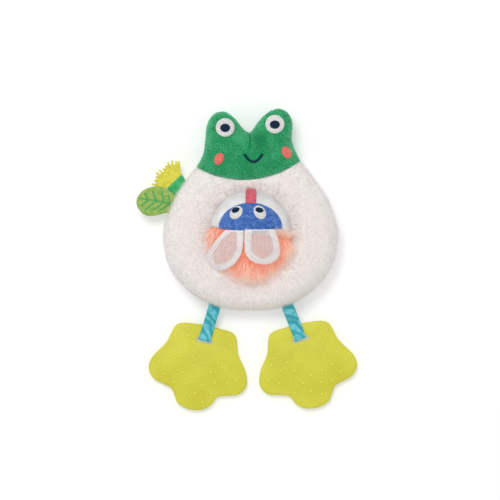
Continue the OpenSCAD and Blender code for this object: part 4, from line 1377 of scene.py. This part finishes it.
# How much the strands differ in length and curl, how fast that changes from one to the next, and how much
# wider each is than its column.
UNEVEN, UNEVEN_TURN, CURL, CURL_TURN, STRAND_GROW = 1.1, 2.4, 0.6, 3.1, 0.006
flower_z = seam_height(ring_r(FLOWER_ANGLE)) - FLOWER_SINK
flower_place = at_edge(FLOWER_ANGLE, FLOWER_TURN)
yellow_felt = cloth("yellow_polyester_felt", "#cdc53c", "#e2dc58", 2, 1.2)
cup_cloth = cloth("green_satin_cup", "#2fa35e", "#57bf7c", 5, 0.7)
cup_flat = [
    (-CUP_BASE_W / 2, -CUP_TUCK), (0, -CUP_TUCK), (CUP_BASE_W / 2, -CUP_TUCK), (CUP_BASE_W / 2, 0),
    (CUP_TOP_W / 2, CUP_H), (CUP_TOP_W / 4, CUP_H), (0, CUP_H), (-CUP_TOP_W / 4, CUP_H),
    (-CUP_TOP_W / 2, CUP_H), (-CUP_BASE_W / 2, 0),
]
cup = pad("flower_cup", [flower_place(p) for p in cup_flat], lambda p: flower_z - CUP_SINK, *CUP_RISE,
          cup_cloth)


def fringe(name, height, first, cut, shift, spread):
    """A strip of felt whose outer half is cut into strands that fan out."""
    columns = np.linspace(-1, 1, 2 * STRANDS + 1)
    rows = (CUP_H - FRINGE_TUCK, CUP_H, CUP_H + FRINGE_LENGTH - FRINGE_CUT)
    shape = bmesh.new()
    grid = []

    def corner(c, y, up):
        share = max(0.0, (y - CUP_H) / FRINGE_LENGTH)
        x = c * ((CUP_TOP_W - FRINGE_MARGIN) * (1 - share) + FRINGE_TIP_W * spread * share) / 2
        p = flower_place((x, y - FRINGE_DROP * share * c * c))
        return shape.verts.new(metres((*p, height + up)))

    for y in rows:
        grid.append([corner(c, y, 0.0) for c in columns])
    for below, above in zip(grid, grid[1:]):
        for k in range(len(columns) - 1):
            shape.faces.new((below[k], below[k + 1], above[k + 1], above[k]))
    for k in range(first, len(columns) - 1, 2):
        longer = UNEVEN * math.sin(UNEVEN_TURN * k + shift)
        left, right = grid[-1][k], grid[-1][k + 1]
        for step in (0.5, 1.0):
            y = rows[-1] + (cut + longer) * step
            up = CURL * step * math.sin(CURL_TURN * k + 2 * shift)
            pair = corner(columns[k] - STRAND_GROW, y, up), corner(columns[k + 1] + STRAND_GROW, y, up)
            shape.faces.new((left, right, pair[1], pair[0]))
            left, right = pair
    piece = link(name, mesh_of(name, shape))
    piece.data.materials.append(yellow_felt)
    thick = piece.modifiers.new("felt", "SOLIDIFY")
    thick.thickness, thick.offset = FELT_T * MM, 0
    return settled(piece)


front_fringe = fringe("flower_fringe_front", flower_z + FRONT_UP, first=0, cut=FRINGE_CUT, shift=0.0,
                      spread=1.0)
back_fringe = fringe("flower_fringe_back", flower_z + BACK_UP, first=1, cut=FRINGE_CUT / 2, shift=1.7,
                     spread=BACK_SPREAD)
dress(front_fringe, "flower", "yellow_felt", "flower_fringe")
dress(back_fringe, "flower", "yellow_felt")
dress(cup, "flower", "calyx_cloth", "flower_calyx")
for piece in (front_fringe, back_fringe):
    cloth_area(piece)
print("flower with", 2 * STRANDS, "strands")

# %% [markdown]
# ## Leg ribbons
# Each leg is a loop of printed ribbon that leaves the ring's seam, goes over the bar above the foot's slot,
# round it, and back under it. The print here is plain watery ripples in three teals.

# %% Leg ribbons
STRAP_W, STRAP_T, STRAP_LENGTH = 9.6, 0.6, 28.7
FOOT_T, FOOT_Z, SEWN_GAP = 5.0, 1.3, 0.3
# Side, angle of the root on the ring, lean of the ribbon, lean of the foot, and 1 or -1 for its mirror image.
LEGS = (("left", -115.9, -17.0, -13.0, -1), ("right", -63.2, 21.5, 14.7, 1))
FLAP_FROM, FLAP_TO, FLAP_Z = 3.0, 13.0, 9.0
BEND_SHARE = 0.55
FOLD_AT, FOLD_SLANT, FOLD_W, FOLD_RISE = 14, 8, 2.2, 0.55
RIPPLE_LENGTH, RIPPLE_SLANT, RIPPLE_RISE = 2.3, 3, 0.2


def printed_ribbon():
    """Satin ribbon with a print of watery ripples, nearly six millimetres apart."""
    made, tree, shader, pale = woven("printed_teal_ribbon", "#42b0bc", "#76cdd7", 4)
    flat = node(tree, "ShaderNodeUVMap", uv_map="ribbon")[0]
    turned = node(tree, "ShaderNodeMapping", {"Vector": flat, "Rotation": (0, 0, 0.7)})[0]
    wave = node(tree, "ShaderNodeTexWave", {
        "Vector": turned, "Scale": 0.055, "Distortion": 5.0, "Detail": 1.0, "Detail Scale": 1.6,
    })["Fac"]
    inked = node(tree, "ShaderNodeMapRange", {"Value": wave, "From Min": 0.5, "From Max": 0.62})
    tint = node(tree, "ShaderNodeMix", {0: inked[0], 6: pale, 7: colour("#2ba1ad")}, data_type="RGBA")[2]
    tree.links.new(tint, shader.inputs["Base Color"])
    return made


def crease(along, c):
    """Lift of a leg ribbon: one slanting fold and a soft ripple."""
    fold = math.exp(-(((along - FOLD_AT - FOLD_SLANT * c) / FOLD_W) ** 2))
    return FOLD_RISE * fold + RIPPLE_RISE * math.sin(along / RIPPLE_LENGTH + RIPPLE_SLANT * c)


teal_ribbon = printed_ribbon()
over, under = FOOT_Z + FOOT_T + SEWN_GAP + STRAP_T / 2, FOOT_Z - SEWN_GAP - STRAP_T / 2
bend, end = STRAP_LENGTH * BEND_SHARE, STRAP_LENGTH + STRAP_T / 2
for side, angle, lean, _, _ in LEGS:
    place = at_edge(angle, lean)
    root_z = seam_height(ring_r(angle))
    # Distance from the ring's edge and height: out above the foot's bar, round it and back below it.
    keys = [
        (-4, root_z + 0.5), (0, root_z + 0.5), (6, root_z - 1.6), (bend, over + 0.6), (end - 4, over + 0.1),
        (end - 0.6, over - 0.2), (end, (over + under) / 2), (end - 0.6, under + 0.2),
        (end - 4, under), (bend, under + 1), (6, root_z - 4), (0, root_z - 0.5), (-4, root_z - 0.5),
    ]
    path = [(*place((0, -d)), z) for d, z in through(keys, 6)]
    across = np.array([*polar(lean, 1), 0])
    strap = ribbon(side + "_leg_ribbon", path, across, STRAP_W, STRAP_T, teal_ribbon, crease)
    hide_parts(side + "_strap")
    flap = [metres((*place((0, -d)), FLAP_Z)) for d in (FLAP_FROM, FLAP_TO)]
    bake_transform(strap)
    print(strap.name, len(strap.data.polygons), "faces")

# %% [markdown]
# ## Teether feet
# The feet are moulded in lime silicone: a flat plate with round edges, a slot for the ribbon and a scatter of
# low nubs to bite on. The outline is a smooth curve through the toes and the dips between them. The nubs are
# one shape repeated, so a tree sets a low dome at every point of a sunflower spiral.

# %% Silicone and the foot's outline
FOOT_KEYS = (
    (90, 33.6), (106, 35.2), (126, 39), (150, 33.7), (172, 38), (188, 41.6), (201, 39.4), (213, 32.4),
    (225, 28.8), (238, 32.2), (252, 34.6), (270, 34.8), (286, 33.4), (298, 29.4), (309, 27.6), (321, 31),
    (333, 37.1), (346, 39.8), (360, 37.6), (385, 32.5), (411, 38.3), (435, 34.7),
)
FOOT_ROUND, SLOT_ROUND = 1.7, 0.4
SLOT_LENGTH, SLOT_W, SLOT_Y = 14.3, 3.6, 21.7
NUB_R, NUB_RISE, NUB_SPACING, NUB_TRIES = 1.5, 0.75, 5.3, 43
foot_outline = through([polar(*key) for key in FOOT_KEYS], 10, closed=True)


def silicone():
    """Lime silicone: matt from the mould and slightly translucent, with a painted highlight that makes the
    nubs' tops paler.
    """
    made, tree, shader, plate = mottled("lime_moulded_silicone", {
        "Roughness": 0.48, "IOR": 1.41, "Subsurface Weight": 0.12, "Subsurface Scale": 2 * MM,
        "Subsurface Radius": (1.0, 0.9, 0.3),
    }, "#ccc835", "#d5d241", patch_mm=22)
    place = node(tree, "ShaderNodeTexCoord")["Object"]
    height = node(tree, "ShaderNodeSeparateXYZ", {0: place})["Z"]
    # Painted highlight: the tops of the nubs are mixed towards a paler lime.
    top = (FOOT_Z + FOOT_T) * MM
    nub = node(tree, "ShaderNodeMapRange", {
        "Value": height, "From Min": top, "From Max": top + NUB_RISE * MM,
    })
    pale = node(tree, "ShaderNodeMix", {0: nub[0], 6: plate, 7: colour("#e7e563")}, data_type="RGBA")
    tree.links.new(pale[2], shader.inputs["Base Color"])
    fine = node(tree, "ShaderNodeTexNoise", {"Vector": place, "Scale": 1 / (0.8 * MM), "Detail": 2.0})
    bump = node(tree, "ShaderNodeBump", {"Strength": 0.06, "Distance": 0.1 * MM, "Height": fine[0]})
    tree.links.new(bump[0], shader.inputs["Normal"])
    return made


lime = silicone()


def slot_outline(grow, count=10):
    """The slot's rounded outline, grown outwards by a little."""
    r, straight = SLOT_W / 2 + grow, (SLOT_LENGTH - SLOT_W) / 2
    points = []
    for end, first in ((1, -90), (-1, 90)):
        for a in np.linspace(first, first + 180, count):
            points.append(np.array([end * straight, SLOT_Y]) + polar(a, r))
    return np.array(points)


def inset_outline(inset):
    """The foot's outline moved inwards along its normals."""
    ahead = np.roll(foot_outline, -1, axis=0) - np.roll(foot_outline, 1, axis=0)
    inwards = np.column_stack([-ahead[:, 1], ahead[:, 0]]) / np.linalg.norm(ahead, axis=1, keepdims=True)
    return foot_outline + inset * inwards


print("foot outline of", len(foot_outline), "points")

# %% The nub tree
def nub_tree():
    """Sets a ball on every point, so that its cap stands above the plate."""
    tree, given = new_tree("nubs", {
        "Geometry": ("Places",), "Float": ("Radius",), "Material": ("Material",),
    }, "Nubs")
    ball = node(tree, "GeometryNodeMeshIcoSphere", {"Radius": given["Radius"], "Subdivisions": 2})
    set_out = node(tree, "GeometryNodeInstanceOnPoints", {"Points": given["Places"], "Instance": ball[0]})
    return end_tree(tree, set_out[0], given["Material"])


nubs = nub_tree()

# %% Feet
GOLDEN_ANGLE, SPIRAL_START = 137.5, 0.6
# How far a nub's middle stays from the outline, from the slot's ends and from the slot's lower side.
CLEAR_EDGE, CLEAR_ENDS, CLEAR_BELOW = 4.2, 3, 4


def foot_place(angle, strap_lean, foot_lean, sign):
    """A function that takes points of a flat foot to their place, mirrored for the left one."""
    at = at_edge(angle, strap_lean)
    slot_at = at((0, -(STRAP_LENGTH + STRAP_T / 2)))
    ways = polar(foot_lean, 1), polar(foot_lean + 90, 1)

    def place(p):
        return slot_at + sign * p[0] * ways[0] + (p[1] - SLOT_Y) * ways[1]

    return place


def foot_shell(name, place):
    """The plate: a rounded rim, flat faces and a slot with rounded lips."""
    shape = bmesh.new()

    def edge_loops(outline_at, r):
        loops = []
        for t in np.linspace(-90, 90, 9):
            turn = math.radians(t)
            z = FOOT_Z + (FOOT_T / 2 + (FOOT_T / 2 - r) * np.sign(t) + r * math.sin(turn))
            outline = outline_at(r * (1 - math.cos(turn)))
            loops.append([shape.verts.new(metres((*place(p), z))) for p in outline])
        return loops

    def skin(loops):
        for a, b in zip(loops, loops[1:]):
            for i in range(len(a)):
                k = (i + 1) % len(a)
                shape.faces.new((a[i], a[k], b[k], b[i]))

    rim, lips = edge_loops(inset_outline, FOOT_ROUND), edge_loops(slot_outline, SLOT_ROUND)
    skin(rim)
    skin(lips)
    for end in (0, -1):
        edges = []
        for loop in (rim[end], lips[end]):
            edges += [shape.edges.get((loop[i - 1], loop[i])) for i in range(len(loop))]
        bmesh.ops.triangle_fill(shape, edges=edges, use_beauty=True)
    bmesh.ops.recalc_face_normals(shape, faces=shape.faces)
    mesh = mesh_of(name, shape)
    mesh.shade_smooth()
    mesh.materials.append(lime)
    return link(name, mesh)


foot_angles = np.degrees(np.arctan2(foot_outline[:, 1], foot_outline[:, 0])) % 360
foot_order = np.argsort(foot_angles)
foot_radii = np.hypot(*foot_outline[foot_order].T)
for side, angle, strap_lean, foot_lean, sign in LEGS:
    place = foot_place(angle, strap_lean, foot_lean, sign)
    foot = foot_shell(side + "_foot_plate", place)
    spots = []
    for i in range(NUB_TRIES):
        p = polar(GOLDEN_ANGLE * i, NUB_SPACING * math.sqrt(i + SPIRAL_START))
        edge_r = np.interp(GOLDEN_ANGLE * i % 360, foot_angles[foot_order], foot_radii)
        beside = abs(p[0]) > SLOT_LENGTH / 2 + CLEAR_ENDS or p[1] < SLOT_Y - SLOT_W / 2 - CLEAR_BELOW
        if np.hypot(*p) + CLEAR_EDGE < edge_r and beside:
            spots.append(metres((*place(p), FOOT_Z + FOOT_T + NUB_RISE - NUB_R)))
    mesh = bpy.data.meshes.new("spots")
    mesh.from_pydata(spots, [], [])
    bumps = grown_by(nubs, side + "_foot_nubs", bpy.data.objects.new("spots", mesh), {
        "Radius": NUB_R * MM, "Material": lime,
    })
    dress(foot, side + "_foot", "lime_silicone", side + "_teether")
    dress(bumps, side + "_foot", "lime_silicone")
    print(foot.name, "with", len(spots), "nubs")

# %% [markdown]
# ## The rattle inside
# A clear capsule of two snapped halves with six beads sits in the middle of the fly. Nobody sees it in use,
# but the pieces are there, so they keep their solids and get plain moulded plastic.

# %% Capsule and beads
def moulded(name, dark, light, plain):
    """Moulded plastic, with the faint clouds that flow leaves in it."""
    return mottled(name, plain, dark, light, patch_mm=6, spread=0.1)[0]


capsule_plastic = moulded("clear_polypropylene", "#d5dde2", "#e6edf0", {"Roughness": 0.3, "IOR": 1.49})
bead_plastic = moulded("red_acrylic_bead", "#b93a32", "#cf4d43", {"Roughness": 0.2, "IOR": 1.49})
inner = []
for start, plastic in (("capsule", capsule_plastic), ("bead", bead_plastic)):
    for name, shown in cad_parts.items():
        if name.startswith(start):
            shown.data.materials.clear()
            shown.data.materials.append(plastic)
            inner.append(name)
print("inner pieces finished:", inner)
